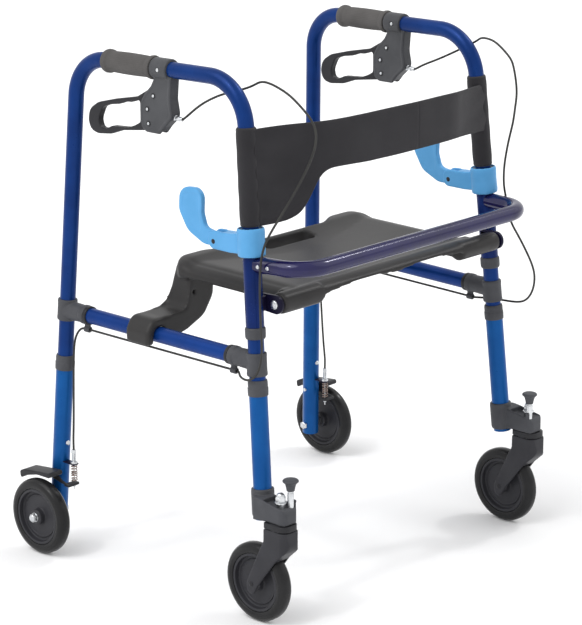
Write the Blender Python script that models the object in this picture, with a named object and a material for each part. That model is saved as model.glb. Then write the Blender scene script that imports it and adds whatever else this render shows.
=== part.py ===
"""Folding rollator with a flip-up seat, in metres, +Z up, front towards -Y, the user's right at -X.

Two inverted-U side frames turn about their front uprights in the sleeves of a front brace. Each frame
carries a telescopic front leg with a swivel caster, a telescopic rear leg with a braked wheel, a hand
grip with a loop lever, and a release collar. The seat turns on the brace's lower cross tube, and its
two arms hook over the side rails. Sizes are read in a datum whose Y is 0 near the middle of the side
rails, and one empty moves the whole model so that the middle of its bounding box is at the origin.
"""

from math import cos, pi, radians, sin, tan

import bmesh
import bpy
from mathutils import Matrix, Vector

X_AXIS = Vector((1.0, 0.0, 0.0))
Y_AXIS = Vector((0.0, 1.0, 0.0))
Z_AXIS = Vector((0.0, 0.0, 1.0))
RIGHT, LEFT = -1, 1
SIDE_NAMES = {RIGHT: "right", LEFT: "left"}

# Fits
GAP = 0.0003
SADDLE_GAP = 0.0005
ORIGIN_Y = -0.0579

# Tubes
TUBE_R = 0.0127
LEG_WALL = 0.0013
LEG_BORE_R = TUBE_R + GAP
LEG_R = LEG_BORE_R + LEG_WALL
BUSHING_WALL = 0.0017
BUSHING_R = LEG_R + BUSHING_WALL
TEE_WALL = 0.0028
TEE_R = TUBE_R + GAP + TEE_WALL
TUBE_SIDES = 16
BEND_STEPS = 5

# Side frames: lines of the uprights at REFERENCE_Z, and their lean per metre of height
REFERENCE_Z = 0.5
FRONT_HALF_WIDTH = 0.2758
REAR_TOE_OUT = 0.0086
FRONT_Y = -0.1372
FRAME_DEPTH = 0.407
FRONT_SPLAY, FRONT_RAKE = 0.0337, 0.0874
REAR_SPLAY, REAR_RAKE = 0.0411, 0.0511
FRONT_CORNER_Z = 0.835
CORNER_DROP = 0.010
FRONT_BEND_R, REAR_BEND_R = 0.075, 0.067
RAIL_Z = 0.409

# Heights on the uprights
BRACE_SLEEVE_Z = (0.4625, 0.5705)
SLEEVE_BUSHING_Z = (0.4445, 0.4622)
FRONT_TEE_Z = (0.387, 0.423)
REAR_TEE_Z = (0.3925, 0.4276)
TEE_SOCKET_LENGTH = 0.050
STRAP_FROM_MOUTH, STRAP_DROP = 0.012, 0.0235
RAIL_END_GAP = 0.0035
FRONT_LEG_Z = (0.1635, 0.3785)
REAR_LEG_Z = (0.0480, 0.3305)
LEG_COLLAR_HEIGHT = 0.022
LEG_COLLAR_LIP = 0.0025
FRONT_TUBE_END_Z = 0.178
REAR_TUBE_END_Z = 0.150
LEG_FLOOR = 0.004

# Front brace
BOW_Z = 0.5590
BOW_FRONT_Y = -0.229
BOW_CORNER_X = FRONT_HALF_WIDTH - 0.0152
BOW_BEND_R = 0.055
PIVOT_Y, PIVOT_Z = -0.167, 0.499
CROSS_TUBE_HALF = FRONT_HALF_WIDTH - 0.0196
PIVOT_PLATE = 0.0058
PIVOT_BOSS_R = 0.015
PIVOT_BOLT_R, PIVOT_BOLT_HEAD_R, PIVOT_BOLT_HEAD = 0.004, 0.0075, 0.0035

# Backrest
BAND_THICKNESS = 0.006
BAND_SLEEVE_Z = (0.6165, 0.7655)
BAND_SLEEVE_R = TUBE_R + 0.0031

# Seat
SEAT_HALF_WIDTH = FRONT_HALF_WIDTH - 0.0538
SEAT_TOP_Z, SEAT_DISH = 0.5150, 0.0115
SEAT_RIM_Z = 0.4865
SEAT_BARREL_R = TUBE_R + 0.0048
SEAT_MID_REAR_Y, SEAT_LOBE_REAR_Y = 0.084, 0.101
SEAT_WALL = 0.0040
SLOT_HALF, SLOT_Y = 0.070, (0.028, 0.060)
ARM_Y = (0.061, 0.114)
ARM_RELIEF = radians(45)

# Release collar and paddle
COLLAR_R = TUBE_R + 0.0088
COLLAR_Z = (0.5710, 0.6145)
PADDLE_PIN_BACK, PADDLE_PIN_Z = 0.070, 0.583
PADDLE_OUT = 0.0010
PADDLE_THICKNESS = 0.0096
COLLAR_ARM_THICKNESS = 0.0220
PIN_R = 0.003

# Grip, brake housing and lever, measured from the grip's front end and the top tube's axis
GRIP_LENGTH = 0.109
GRIP_R, GRIP_FLANGE_R = TUBE_R + 0.0036, TUBE_R + 0.0060
GRIP_TO_BEND = 0.003
HOUSING_THICKNESS = 0.024
HOUSING_CLAMP_R = TUBE_R + 0.0041
LEVER_THICKNESS = 0.0118
LEVER_PIVOT = (-0.003, -0.0416)
FERRULE_R, FERRULE_LENGTH, FERRULE_DROP = 0.0042, 0.019, 0.0726

# Wheels
WHEEL_R = 0.0635
TYRE_WIDTH = 0.024
HUB_R = WHEEL_R - 0.0165
HUB_BOSS_R = 0.013
AXLE_R = 0.004
WHEEL_SIDES = 20
TREAD_GAP = 0.003

# Front casters
SWIVEL_OUT, SWIVEL_AHEAD = 0.0108, 0.0461
CASTER_TRAIL = 0.047
SOCKET_WALL = 0.0034
SOCKET_Z = (0.159, 0.212)
SWIVEL_Z = 0.1605
BRACKET_INNER, BRACKET_OUTER = 0.0087, 0.0258
FORK_HALF_WIDTH, FORK_PLATE = 0.0178, 0.0042
KINGPIN_R, KINGPIN_NUT_R = 0.005, 0.0085
KINGPIN_NUT_Z = (0.1978, 0.2085)
PLUNGER_IN, PLUNGER_AHEAD = 0.0002, 0.0566
PLUNGER_R, PLUNGER_BARREL_R, PLUNGER_BARREL_Z = 0.0035, 0.0070, 0.2205

# Rear wheels and brakes
REAR_WHEEL_OUT, REAR_WHEEL_BACK = 0.0372, 0.0019
CABLE_STOP_OUT, CABLE_STOP_AHEAD, CABLE_STOP_Z = 0.0013, 0.0331, 0.1515
ADJUSTER_R, ADJUSTER_TOP_Z = 0.0035, 0.1765
BRAKE_PIVOT_Z = 0.133
BRAKE_ARM_THICKNESS = 0.004
BRAKE_PIN_R = 0.003
BRAKE_SEAT_Z = 0.1210
PAD_GAP, PAD_HEIGHT = 0.0036, 0.014
PAD_ANGLES = (70, 98)
SPRING_R, SPRING_WIRE_R, SPRING_TURNS = 0.0046, 0.0008, 7
BUTTON_Z, BUTTON_R, BUTTON_HEIGHT = 0.184, 0.0042, 0.0026

CABLE_R = 0.0025
CABLE_POINTS = 54

MATERIALS = {
    "blue_tube": ((0.010, 0.052, 0.250), 0.28, 0.6),
    "blue_leg": ((0.014, 0.130, 0.420), 0.30, 0.6),
    "violet_tube": ((0.016, 0.012, 0.090), 0.22, 0.5),
    "charcoal_plastic": ((0.055, 0.055, 0.060), 0.50, 0.0),
    "black_plastic": ((0.022, 0.022, 0.025), 0.45, 0.0),
    "grip_foam": ((0.060, 0.060, 0.064), 0.80, 0.0),
    "black_fabric": ((0.030, 0.030, 0.031), 0.90, 0.0),
    "light_blue_plastic": ((0.115, 0.380, 0.700), 0.40, 0.0),
    "wheel_plastic": ((0.045, 0.045, 0.050), 0.45, 0.0),
    "tyre_rubber": ((0.040, 0.040, 0.042), 0.60, 0.0),
    "steel": ((0.620, 0.620, 0.630), 0.30, 1.0),
    "spring_steel": ((0.300, 0.120, 0.080), 0.40, 0.8),
}


def front_axis(side, z):
    """Point of the front upright's axis at height z."""
    drop = REFERENCE_Z - z
    return Vector((side * (FRONT_HALF_WIDTH + FRONT_SPLAY * drop), FRONT_Y - FRONT_RAKE * drop, z))


def rear_axis(side, z):
    """Point of the rear upright's axis at height z."""
    drop = REFERENCE_Z - z
    half = FRONT_HALF_WIDTH + REAR_TOE_OUT + REAR_SPLAY * drop
    return Vector((side * half, FRONT_Y + FRAME_DEPTH + REAR_RAKE * drop, z))


def at_y(start, end, y):
    """Point at Y = y on the line through two points."""
    return start.lerp(end, (y - start.y) / (end.y - start.y))


def top_axis(side, y):
    """Point of the top tube's axis at Y = y."""
    rear_corner_z = FRONT_CORNER_Z - CORNER_DROP
    return at_y(front_axis(side, FRONT_CORNER_Z), rear_axis(side, rear_corner_z), y)


def rail_axis(side, y):
    """Point of the side rail's axis at Y = y."""
    return at_y(front_axis(side, RAIL_Z), rear_axis(side, RAIL_Z), y)


def strap_point(side, axis_line, toward):
    """Centre of the cable's strap under the side rail, near a tee's mouth."""
    mouth = axis_line(side, RAIL_Z).y + toward * (TUBE_R + TEE_SOCKET_LENGTH)
    return rail_axis(side, mouth - toward * STRAP_FROM_MOUTH) - Z_AXIS * STRAP_DROP


def paddle_pin(side):
    """Pivot of the release paddle, behind the front upright."""
    point = front_axis(side, PADDLE_PIN_Z)
    return point + Vector((side * PADDLE_OUT, PADDLE_PIN_BACK, 0))


def swivel_point(side):
    """Foot of the caster's swivel axis on its bracket."""
    return front_axis(side, SWIVEL_Z) + Vector((side * SWIVEL_OUT, -SWIVEL_AHEAD, 0))


def plunger_point(side, z):
    """Point of the lock plunger's axis at height z."""
    foot = front_axis(side, SWIVEL_Z)
    return Vector((foot.x - side * PLUNGER_IN, foot.y - PLUNGER_AHEAD, z))


def cable_stop(side, z):
    """Point above or below the cable stop in front of the rear leg."""
    foot = rear_axis(side, CABLE_STOP_Z)
    return Vector((foot.x + side * CABLE_STOP_OUT, foot.y - CABLE_STOP_AHEAD, z))


def ring(centre, axis, radius, sides=TUBE_SIDES, aim=X_AXIS):
    """Points of a circle round the axis, the first of them towards aim."""
    axis = axis.normalized()
    first = (aim - axis * aim.dot(axis)).normalized()
    second = axis.cross(first)
    turn = 2 * pi / sides
    return [centre + (first * cos(i * turn) + second * sin(i * turn)) * radius for i in range(sides)]


def finished(bm):
    """Mesh of a closed bmesh, its faces turned outwards."""
    bmesh.ops.recalc_face_normals(bm, faces=bm.faces)
    mesh = bpy.data.meshes.new("solid")
    bm.to_mesh(mesh)
    bm.free()
    return mesh


def loft(rings, closed=False):
    """Skin over rings of equal counts, with flat ends, or joined end to start when closed."""
    bm = bmesh.new()
    rows = [[bm.verts.new(point) for point in points] for points in rings]
    pairs = list(zip(rows, rows[1:]))
    if closed:
        pairs.append((rows[-1], rows[0]))
    for low, high in pairs:
        for i in range(len(low)):
            j = (i + 1) % len(low)
            bm.faces.new((low[i], low[j], high[j], high[i]))
    if not closed:
        bm.faces.new(rows[0])
        bm.faces.new(rows[-1])
    return finished(bm)


def turned(stations, axis, sides=TUBE_SIDES, aim=X_AXIS, closed=False):
    """Turned solid through (centre, radius) stations along an axis."""
    return loft([ring(centre, axis, radius, sides, aim) for centre, radius in stations], closed)


def rod(start, end, radius, sides=TUBE_SIDES, aim=X_AXIS):
    """Plain round bar between two points."""
    return turned([(start, radius), (end, radius)], end - start, sides, aim)


def on_upright(axis_line, side, stations, closed=False):
    """Turned solid on an upright, through (radius, height) stations."""
    axis = axis_line(side, 1.0) - axis_line(side, 0.0)
    return turned([(axis_line(side, z), radius) for radius, z in stations], axis, closed=closed)


def collar(axis_line, side, outer, inner, low, high, ease=0.0012):
    """Ring round an upright, eased at its outer edges."""
    stations = [(inner, low), (outer - ease, low), (outer, low + ease), (outer, high - ease),
                (outer - ease, high), (inner, high)]
    return on_upright(axis_line, side, stations, closed=True)


def across(centre, stations, sides=WHEEL_SIDES, closed=False):
    """Turned solid about a line along X, through (radius, x offset) stations."""
    return turned([(centre + X_AXIS * x, radius) for radius, x in stations], X_AXIS, sides, Z_AXIS, closed)


def upright_rod(x, y, low, high, radius, sides=12):
    """Round bar along Z."""
    return rod(Vector((x, y, low)), Vector((x, y, high)), radius, sides)


def bent(corners, radii, steps=BEND_STEPS):
    """Path through corners with round bends, as (point, direction) pairs."""
    path = [(corners[0], (corners[1] - corners[0]).normalized())]
    for before, corner, after, radius in zip(corners, corners[1:], corners[2:], radii):
        come, leave = (corner - before).normalized(), (after - corner).normalized()
        angle = come.angle(leave)
        start = corner - come * radius * tan(angle / 2)
        inward = (leave - come * leave.dot(come)).normalized()
        for step in range(steps + 1):
            turn = angle * step / steps
            point = start + come * radius * sin(turn) + inward * radius * (1 - cos(turn))
            path.append((point, come * cos(turn) + inward * sin(turn)))
    path.append((corners[-1], (corners[-1] - corners[-2]).normalized()))
    return path


def swept(path, radius, aim=X_AXIS):
    """Tube of one radius along (point, direction) pairs."""
    return loft([ring(point, direction, radius, aim=aim) for point, direction in path])


def rounded(corners, steps=2):
    """Outline of (a, b, radius) corners, each with its fillet."""
    outline = []
    count = len(corners)
    for i, (a, b, radius) in enumerate(corners):
        corner = Vector((a, b))
        before = Vector(corners[i - 1][:2]) - corner
        after = Vector(corners[(i + 1) % count][:2]) - corner
        if radius == 0:
            outline.append(corner)
            continue
        half = before.angle(after) / 2
        reach = min(radius / tan(half), 0.49 * before.length, 0.49 * after.length)
        start, end = corner + before.normalized() * reach, corner + after.normalized() * reach
        for step in range(steps + 1):
            t = step / steps
            outline.append(start * (1 - t) ** 2 + corner * 2 * t * (1 - t) + end * t ** 2)
    return outline


def side_plane(a, b, depth):
    """Places an outline drawn in (Y, Z), its depth along X."""
    return Vector((depth, a, b))


def front_plane(a, b, depth):
    """Places an outline drawn in (X, Z), its depth along Y."""
    return Vector((a, depth, b))


def prism(outline, low, high, place=side_plane, ease=0.0):
    """Outline carried from depth low to high, with the edges of both ends eased."""
    bm = bmesh.new()
    ends = [[bm.verts.new(place(a, b, depth)) for a, b in outline] for depth in (low, high)]
    faces = [bm.faces.new(end) for end in ends]
    for i in range(len(outline)):
        j = (i + 1) % len(outline)
        bm.faces.new((ends[0][i], ends[0][j], ends[1][j], ends[1][i]))
    if ease:
        rims = [edge for face in faces for edge in face.edges]
        bmesh.ops.bevel(bm, geom=rims, offset=ease, segments=1, profile=0.5, affect="EDGES")
    return finished(bm)


def block(low, high):
    """Box between two corners."""
    outline = [(low[1], low[2]), (high[1], low[2]), (high[1], high[2]), (low[1], high[2])]
    return prism(outline, low[0], high[0])


def combined(mesh, other, operation):
    """Exact Boolean of two closed meshes."""
    objects = [bpy.data.objects.new(mesh.name, data) for data in (mesh, other)]
    for obj in objects:
        bpy.context.scene.collection.objects.link(obj)
    modifier = objects[0].modifiers.new("combined", "BOOLEAN")
    modifier.operation = operation
    modifier.solver = "EXACT"
    modifier.object = objects[1]
    bpy.context.view_layer.update()
    evaluated = objects[0].evaluated_get(bpy.context.evaluated_depsgraph_get())
    result = bpy.data.meshes.new_from_object(evaluated)
    for obj in objects:
        bpy.data.objects.remove(obj)
    if not result.polygons:
        raise ValueError("the Boolean left nothing: an eased edge may be wider than the outline's shortest side")
    return result


def joined(mesh, *others):
    """Union of closed meshes."""
    for other in others:
        mesh = combined(mesh, other, "UNION")
    return mesh


def cut(mesh, *others):
    """First mesh less the others."""
    for other in others:
        mesh = combined(mesh, other, "DIFFERENCE")
    return mesh


class Model:
    """The bodies, as empties on their joints, and the named sub-parts on them."""

    def __init__(self):
        self.materials = {name: self.material(name, *values) for name, values in MATERIALS.items()}
        self.origin = self.empty("rollator_origin", Vector((0.0, ORIGIN_Y, 0.0)), None)
        self.points = {None: Vector()}

    def material(self, name, colour, roughness, metallic):
        """Principled material of one colour."""
        material = bpy.data.materials.new(name)
        material.use_nodes = True
        shader = material.node_tree.nodes["Principled BSDF"]
        shader.inputs["Base Color"].default_value = (*colour, 1.0)
        shader.inputs["Roughness"].default_value = roughness
        shader.inputs["Metallic"].default_value = metallic
        return material

    def empty(self, name, location, parent):
        """Empty that carries a body."""
        empty = bpy.data.objects.new(name, None)
        empty.empty_display_size = 0.03
        empty.location = location
        empty.parent = parent
        bpy.context.scene.collection.objects.link(empty)
        return empty

    def body(self, name, point, parent=None):
        """Body whose empty stands on its joint at the given point."""
        carrier = self.origin if parent is None else bpy.data.objects[parent]
        self.empty(name, point - self.points[parent], carrier)
        self.points[name] = point
        return name

    def place(self, name, data, body, material):
        """Names a sub-part and hangs it on its body."""
        shift = Matrix.Translation(-self.points[body])
        data.transform(shift)
        if isinstance(data, bpy.types.Mesh):
            data.materials.clear()
            data.shade_smooth()
            data.set_sharp_from_angle(angle=radians(35))
        data.materials.append(self.materials[material])
        obj = bpy.data.objects.new(name, data)
        obj.parent = self.origin if body is None else bpy.data.objects[body]
        bpy.context.scene.collection.objects.link(obj)
        return obj


def frame_tube_mesh(side):
    """Inverted-U tube of a side frame, down into both legs, with the snap button's hole."""
    corners = [front_axis(side, FRONT_TUBE_END_Z), front_axis(side, FRONT_CORNER_Z),
               rear_axis(side, FRONT_CORNER_Z - CORNER_DROP), rear_axis(side, REAR_TUBE_END_Z)]
    tube = swept(bent(corners, (FRONT_BEND_R, REAR_BEND_R)), TUBE_R)
    centre = rear_axis(side, BUTTON_Z)
    return cut(tube, rod(centre - Y_AXIS * (TUBE_R - 0.006), centre - Y_AXIS * LEG_R, BUTTON_R + 0.001, 12))


def rail_ends(side):
    """Y of the side rail's two ends, just short of the uprights."""
    reach = TUBE_R + RAIL_END_GAP
    return front_axis(side, RAIL_Z).y + reach, rear_axis(side, RAIL_Z).y - reach


def side_rail_mesh(side):
    """Straight rail between the two tees."""
    front, rear = rail_ends(side)
    return rod(rail_axis(side, front), rail_axis(side, rear), TUBE_R)


def tee_mesh(side, axis_line, heights, toward):
    """Moulded tee: a sleeve round an upright, the rail's socket and the cable's strap under it."""
    upright_y = axis_line(side, RAIL_Z).y
    mouth = upright_y + toward * (TUBE_R + TEE_SOCKET_LENGTH)
    bottom = upright_y + toward * (TUBE_R + RAIL_END_GAP - GAP)
    sleeve = on_upright(axis_line, side, [(TEE_R, heights[0]), (TEE_R, heights[1])])
    socket = rod(rail_axis(side, upright_y), rail_axis(side, mouth), TEE_R - 0.0008)
    strap_centre = strap_point(side, axis_line, toward)
    strap_r = STRAP_DROP - TEE_R + 0.0004
    strap = turned([(strap_centre + Vector((0, step, 0.0025)), strap_r) for step in (-0.006, 0.006)], Y_AXIS, 12)
    tee = joined(sleeve, socket, strap)
    bore = rod(axis_line(side, heights[0] - 0.02), axis_line(side, heights[1] + 0.02), TUBE_R + GAP)
    rail_bore = rod(rail_axis(side, bottom), rail_axis(side, mouth + toward * 0.01), TUBE_R + GAP)
    cable_bore = rod(strap_centre - Y_AXIS * 0.03, strap_centre + Y_AXIS * 0.03, CABLE_R + 0.0015, 12)
    return cut(tee, bore, rail_bore, cable_bore)


def grip_ends(side):
    """Y of the grip's front and rear ends: the rear one is just before the rear bend."""
    corner = rear_axis(side, FRONT_CORNER_Z - CORNER_DROP)
    come = top_axis(side, corner.y) - top_axis(side, corner.y - 0.1)
    leave = rear_axis(side, 0.0) - rear_axis(side, 0.1)
    bend_start = corner.y - REAR_BEND_R * tan(come.angle(leave) / 2)
    return bend_start - GRIP_TO_BEND - GRIP_LENGTH, bend_start - GRIP_TO_BEND


def grip_mesh(side):
    """Hand grip with a flange at each end, on the top tube."""
    front, rear = grip_ends(side)
    outline = [(TUBE_R + GAP, 0.0), (GRIP_FLANGE_R - 0.002, 0.0), (GRIP_FLANGE_R, 0.002),
               (GRIP_FLANGE_R - 0.0005, 0.007), (GRIP_R, 0.010), (GRIP_R + 0.0003, GRIP_LENGTH - 0.012),
               (GRIP_FLANGE_R, GRIP_LENGTH - 0.008), (GRIP_FLANGE_R, GRIP_LENGTH - 0.002),
               (GRIP_FLANGE_R - 0.002, GRIP_LENGTH), (TUBE_R + GAP, GRIP_LENGTH)]
    stations = [(top_axis(side, front + along), radius) for radius, along in outline]
    return turned(stations, top_axis(side, rear) - top_axis(side, front), closed=True)


def under_grip(side):
    """Datum of the housing and lever: the top tube's axis at the grip's front end."""
    return top_axis(side, grip_ends(side)[0])


def moved(outline, datum):
    """Outline drawn from a datum point, in (Y, Z)."""
    return [(datum.y + a, datum.z + b) for a, b in outline]


def brake_housing_mesh(side):
    """Housing clamped under the top tube: two cheeks on a front wall, the lever's pin, the ferrule."""
    datum = under_grip(side)
    half = HOUSING_THICKNESS / 2
    outline = rounded([(-0.037, -0.008, 0), (-0.0345, -0.044, 0.03), (-0.0375, -0.0726, 0.02),
                       (-0.031, -0.0900, 0.012), (-0.010, -0.1026, 0.012), (0.018, -0.1010, 0.010),
                       (0.028, -0.0640, 0.014), (0.010, -0.0370, 0.012), (-0.004, -0.0200, 0.008),
                       (-0.004, -0.008, 0)])
    shell = prism(moved(outline, datum), datum.x - half, datum.x + half, ease=0.002)
    clamp = rod(top_axis(side, datum.y - 0.026), top_axis(side, datum.y - 0.009), HOUSING_CLAMP_R)
    slot_half = LEVER_THICKNESS / 2 + GAP
    slot = block((datum.x - slot_half, datum.y - 0.020, datum.z - 0.13),
                 (datum.x + slot_half, datum.y + 0.05, datum.z - 0.0285))
    bore = rod(top_axis(side, datum.y - 0.06), top_axis(side, datum.y + 0.03), TUBE_R + GAP)
    pin_centre = datum + Vector((0, *LEVER_PIVOT))
    pin = across(pin_centre, [(PIN_R, -half + 0.001), (PIN_R, half - 0.001)], 12)
    ferrule_start = Vector((datum.x, datum.y - 0.030, datum.z - FERRULE_DROP))
    ferrule = rod(ferrule_start, ferrule_start - Y_AXIS * (FERRULE_LENGTH + 0.006), FERRULE_R, 12)
    return joined(cut(joined(shell, clamp), slot, bore), pin, ferrule)


def brake_lever_mesh(side):
    """Closed loop lever with finger rests in its opening."""
    datum = under_grip(side)
    half = LEVER_THICKNESS / 2
    outline = rounded([(-0.014, -0.0500, 0.008), (-0.013, -0.0315, 0.009), (0.006, -0.0315, 0.008),
                       (0.0355, -0.0486, 0.03), (0.0850, -0.0596, 0.06), (0.1440, -0.0735, 0.016),
                       (0.1590, -0.1016, 0.018), (0.1500, -0.1225, 0.012), (0.1080, -0.1220, 0.014),
                       (0.0860, -0.1085, 0.020), (0.0315, -0.1016, 0.02), (0.008, -0.0985, 0.012),
                       (-0.006, -0.0800, 0.012)])
    opening = rounded([(0.0400, -0.0630, 0.005), (0.0560, -0.0690, 0.008), (0.0720, -0.0680, 0.008),
                       (0.0900, -0.0755, 0.008), (0.1210, -0.0800, 0.007), (0.1230, -0.1110, 0.007),
                       (0.1080, -0.1090, 0.010), (0.0900, -0.0990, 0.012), (0.0410, -0.0925, 0.006)])
    loop = prism(moved(outline, datum), datum.x - half, datum.x + half, ease=0.0022)
    window = prism(moved(opening, datum), datum.x - half - 0.01, datum.x + half + 0.01)
    bore = across(datum + Vector((0, *LEVER_PIVOT)), [(PIN_R + GAP, -0.02), (PIN_R + GAP, 0.02)], 12)
    return cut(loop, window, bore)


def collar_mesh(side):
    """Release collar on the front upright, with the forked arm and pin of its paddle."""
    pivot = paddle_pin(side)
    low, high = COLLAR_Z
    ring_body = on_upright(front_axis, side, [(COLLAR_R - 0.0012, low), (COLLAR_R, low + 0.0012),
                                              (COLLAR_R, high - 0.0012), (COLLAR_R - 0.0012, high)])
    arm_outline = rounded([(-0.065, -0.0095, 0), (-0.065, 0.0240, 0), (-0.035, 0.0180, 0.02),
                           (0.012, 0.0155, 0.012), (0.012, -0.0125, 0.012), (-0.035, -0.0120, 0.02)])
    half = COLLAR_ARM_THICKNESS / 2
    arm = prism(moved(arm_outline, pivot), pivot.x - half, pivot.x + half)
    bore = rod(front_axis(side, low - 0.02), front_axis(side, high + 0.02), TUBE_R + GAP)
    slot_half = PADDLE_THICKNESS / 2 + GAP
    slot = block((pivot.x - slot_half, pivot.y - 0.017, pivot.z - 0.03),
                 (pivot.x + slot_half, pivot.y + 0.03, pivot.z + 0.05))
    pin = across(pivot, [(PIN_R, -half + 0.001), (PIN_R, half - 0.001)], 12)
    return joined(cut(joined(ring_body, arm), bore, slot), pin)


def paddle_mesh(side):
    """Curved thumb paddle, pinned in the collar's fork."""
    pivot = paddle_pin(side)
    half = PADDLE_THICKNESS / 2
    outline = rounded([(-0.011, -0.0095, 0.009), (0.0280, -0.0105, 0.03), (0.0630, 0.0050, 0.03),
                       (0.0820, 0.0350, 0.02), (0.0770, 0.0690, 0.018), (0.0310, 0.0730, 0.012),
                       (0.0320, 0.0370, 0.02), (0.0250, 0.0160, 0.012), (-0.011, 0.0095, 0.008)])
    blade = prism(moved(outline, pivot), pivot.x - half, pivot.x + half, ease=0.002)
    bore = across(pivot, [(PIN_R + GAP, -0.02), (PIN_R + GAP, 0.02)], 12)
    return cut(blade, bore)


def leg_mesh(side, axis_line, heights, tube_end):
    """Telescopic leg: a tube open at the top, with a floor under the frame tube's end."""
    outer = on_upright(axis_line, side, [(LEG_R, heights[0]), (LEG_R, heights[1])])
    floor = min(tube_end - LEG_FLOOR, heights[0] + LEG_FLOOR)
    bore = on_upright(axis_line, side, [(LEG_BORE_R, floor), (LEG_BORE_R, heights[1] + 0.02)])
    return outer, bore


def leg_collar_mesh(side, axis_line, top):
    """Bushing over the top of a leg, its lip closing down to the frame tube."""
    low, high = top - LEG_COLLAR_HEIGHT, top + LEG_COLLAR_LIP
    leg_side, tube_side = LEG_R + GAP, TUBE_R + GAP
    stations = [(leg_side, low), (BUSHING_R - 0.001, low), (BUSHING_R, low + 0.001),
                (BUSHING_R, high - 0.0015), (BUSHING_R - 0.0015, high), (tube_side, high),
                (tube_side, top + GAP), (leg_side, top + GAP)]
    return on_upright(axis_line, side, stations, closed=True)


def front_leg_mesh(side):
    """Front leg, which seats in the caster bracket's socket."""
    outer, bore = leg_mesh(side, front_axis, FRONT_LEG_Z, FRONT_TUBE_END_Z)
    return cut(outer, bore)


def axle_point(side):
    """Centre of the rear wheel."""
    return rear_axis(side, WHEEL_R) + Vector((side * REAR_WHEEL_OUT, REAR_WHEEL_BACK, 0))


def brake_pivot(side):
    """Point on the rear leg's axis where the brake arm turns."""
    return rear_axis(side, BRAKE_PIVOT_Z)


def rear_leg_mesh(side):
    """Rear leg with the cable stop's tab and adjuster, and the axle's, button's and brake pin's holes."""
    outer, bore = leg_mesh(side, rear_axis, REAR_LEG_Z, REAR_TUBE_END_Z)
    stop = cable_stop(side, CABLE_STOP_Z)
    tab = block((stop.x - 0.006, stop.y - 0.006, stop.z), (stop.x + 0.006, rear_axis(side, stop.z).y, stop.z + 0.002))
    adjuster = rod(stop + Z_AXIS * 0.001, cable_stop(side, ADJUSTER_TOP_Z), ADJUSTER_R, 8)
    centre = axle_point(side) - X_AXIS * side * REAR_WHEEL_OUT
    axle_hole = across(centre, [(AXLE_R + GAP, -0.03), (AXLE_R + GAP, 0.03)], 12)
    pin_hole = across(brake_pivot(side), [(BRAKE_PIN_R + GAP, -0.03), (BRAKE_PIN_R + GAP, 0.03)], 12)
    button = rear_axis(side, BUTTON_Z)
    button_hole = rod(button, button - Y_AXIS * 0.03, BUTTON_R + GAP, 12)
    return cut(joined(outer, tab, adjuster), bore, axle_hole, pin_hole, button_hole)


def snap_button_mesh(side):
    """Domed button in the rear leg's front wall."""
    centre = rear_axis(side, BUTTON_Z)
    inner = centre - Y_AXIS * (TUBE_R + GAP)
    stations = [(0.0, BUTTON_R), (BUTTON_HEIGHT, BUTTON_R), (BUTTON_HEIGHT + 0.0012, BUTTON_R * 0.8),
                (BUTTON_HEIGHT + 0.0018, BUTTON_R * 0.4)]
    return turned([(inner - Y_AXIS * step, radius) for step, radius in stations], Y_AXIS, 12)


def caster_bracket_mesh(side):
    """Socket for the front leg with a forward block for the swivel pin and the lock plunger."""
    socket_r = LEG_R + GAP + SOCKET_WALL
    socket = on_upright(front_axis, side, [(socket_r - 0.001, SOCKET_Z[0]), (socket_r, SOCKET_Z[0] + 0.003),
                                           (socket_r, SOCKET_Z[1] - 0.001), (socket_r - 0.001, SOCKET_Z[1])])
    foot, swivel = front_axis(side, SWIVEL_Z), swivel_point(side)
    outline = rounded([(0.0, 0.0, 0), (0.0, 0.0470, 0), (-0.0211, 0.0440, 0.01), (-0.0331, 0.0370, 0.006),
                       (-0.0581, 0.0370, 0), (-0.0593, 0.0450, 0), (-0.0716, 0.0425, 0.004), (-0.0731, 0.0, 0)])
    low, high = sorted((foot.x - side * BRACKET_INNER, foot.x + side * BRACKET_OUTER))
    forward = prism(moved(outline, foot), low, high)
    barrel = rod(plunger_point(side, 0.19), plunger_point(side, PLUNGER_BARREL_Z), PLUNGER_BARREL_R, 12)
    bore_bottom = FRONT_LEG_Z[0] - GAP
    leg_bore = on_upright(front_axis, side, [(LEG_R + GAP, bore_bottom), (LEG_R + GAP, SOCKET_Z[1] + 0.05)])
    pin_bore = upright_rod(swivel.x, swivel.y, 0.14, 0.23, KINGPIN_R + GAP)
    nut_room = upright_rod(swivel.x, swivel.y, KINGPIN_NUT_Z[0] - GAP, 0.23, KINGPIN_NUT_R + 0.0008)
    plunger_bore = rod(plunger_point(side, 0.14), plunger_point(side, 0.24), PLUNGER_R + GAP, 12)
    return cut(joined(socket, forward, barrel), leg_bore, nut_room, pin_bore, plunger_bore)


def lock_knob_mesh(side):
    """Mushroom knob on the plunger that locks the caster straight."""
    base = PLUNGER_BARREL_Z + GAP
    stations = [(SWIVEL_Z + 0.001, PLUNGER_R), (base, PLUNGER_R), (base, 0.0058), (base + 0.008, 0.0058),
                (base + 0.0160, 0.0124), (base + 0.0190, 0.0124), (base + 0.0212, 0.0095)]
    return turned([(plunger_point(side, z), radius) for z, radius in stations], Z_AXIS, 12)


def caster_centre(side):
    """Centre of the front wheel."""
    swivel = swivel_point(side)
    return Vector((swivel.x, swivel.y + CASTER_TRAIL, WHEEL_R))


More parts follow.
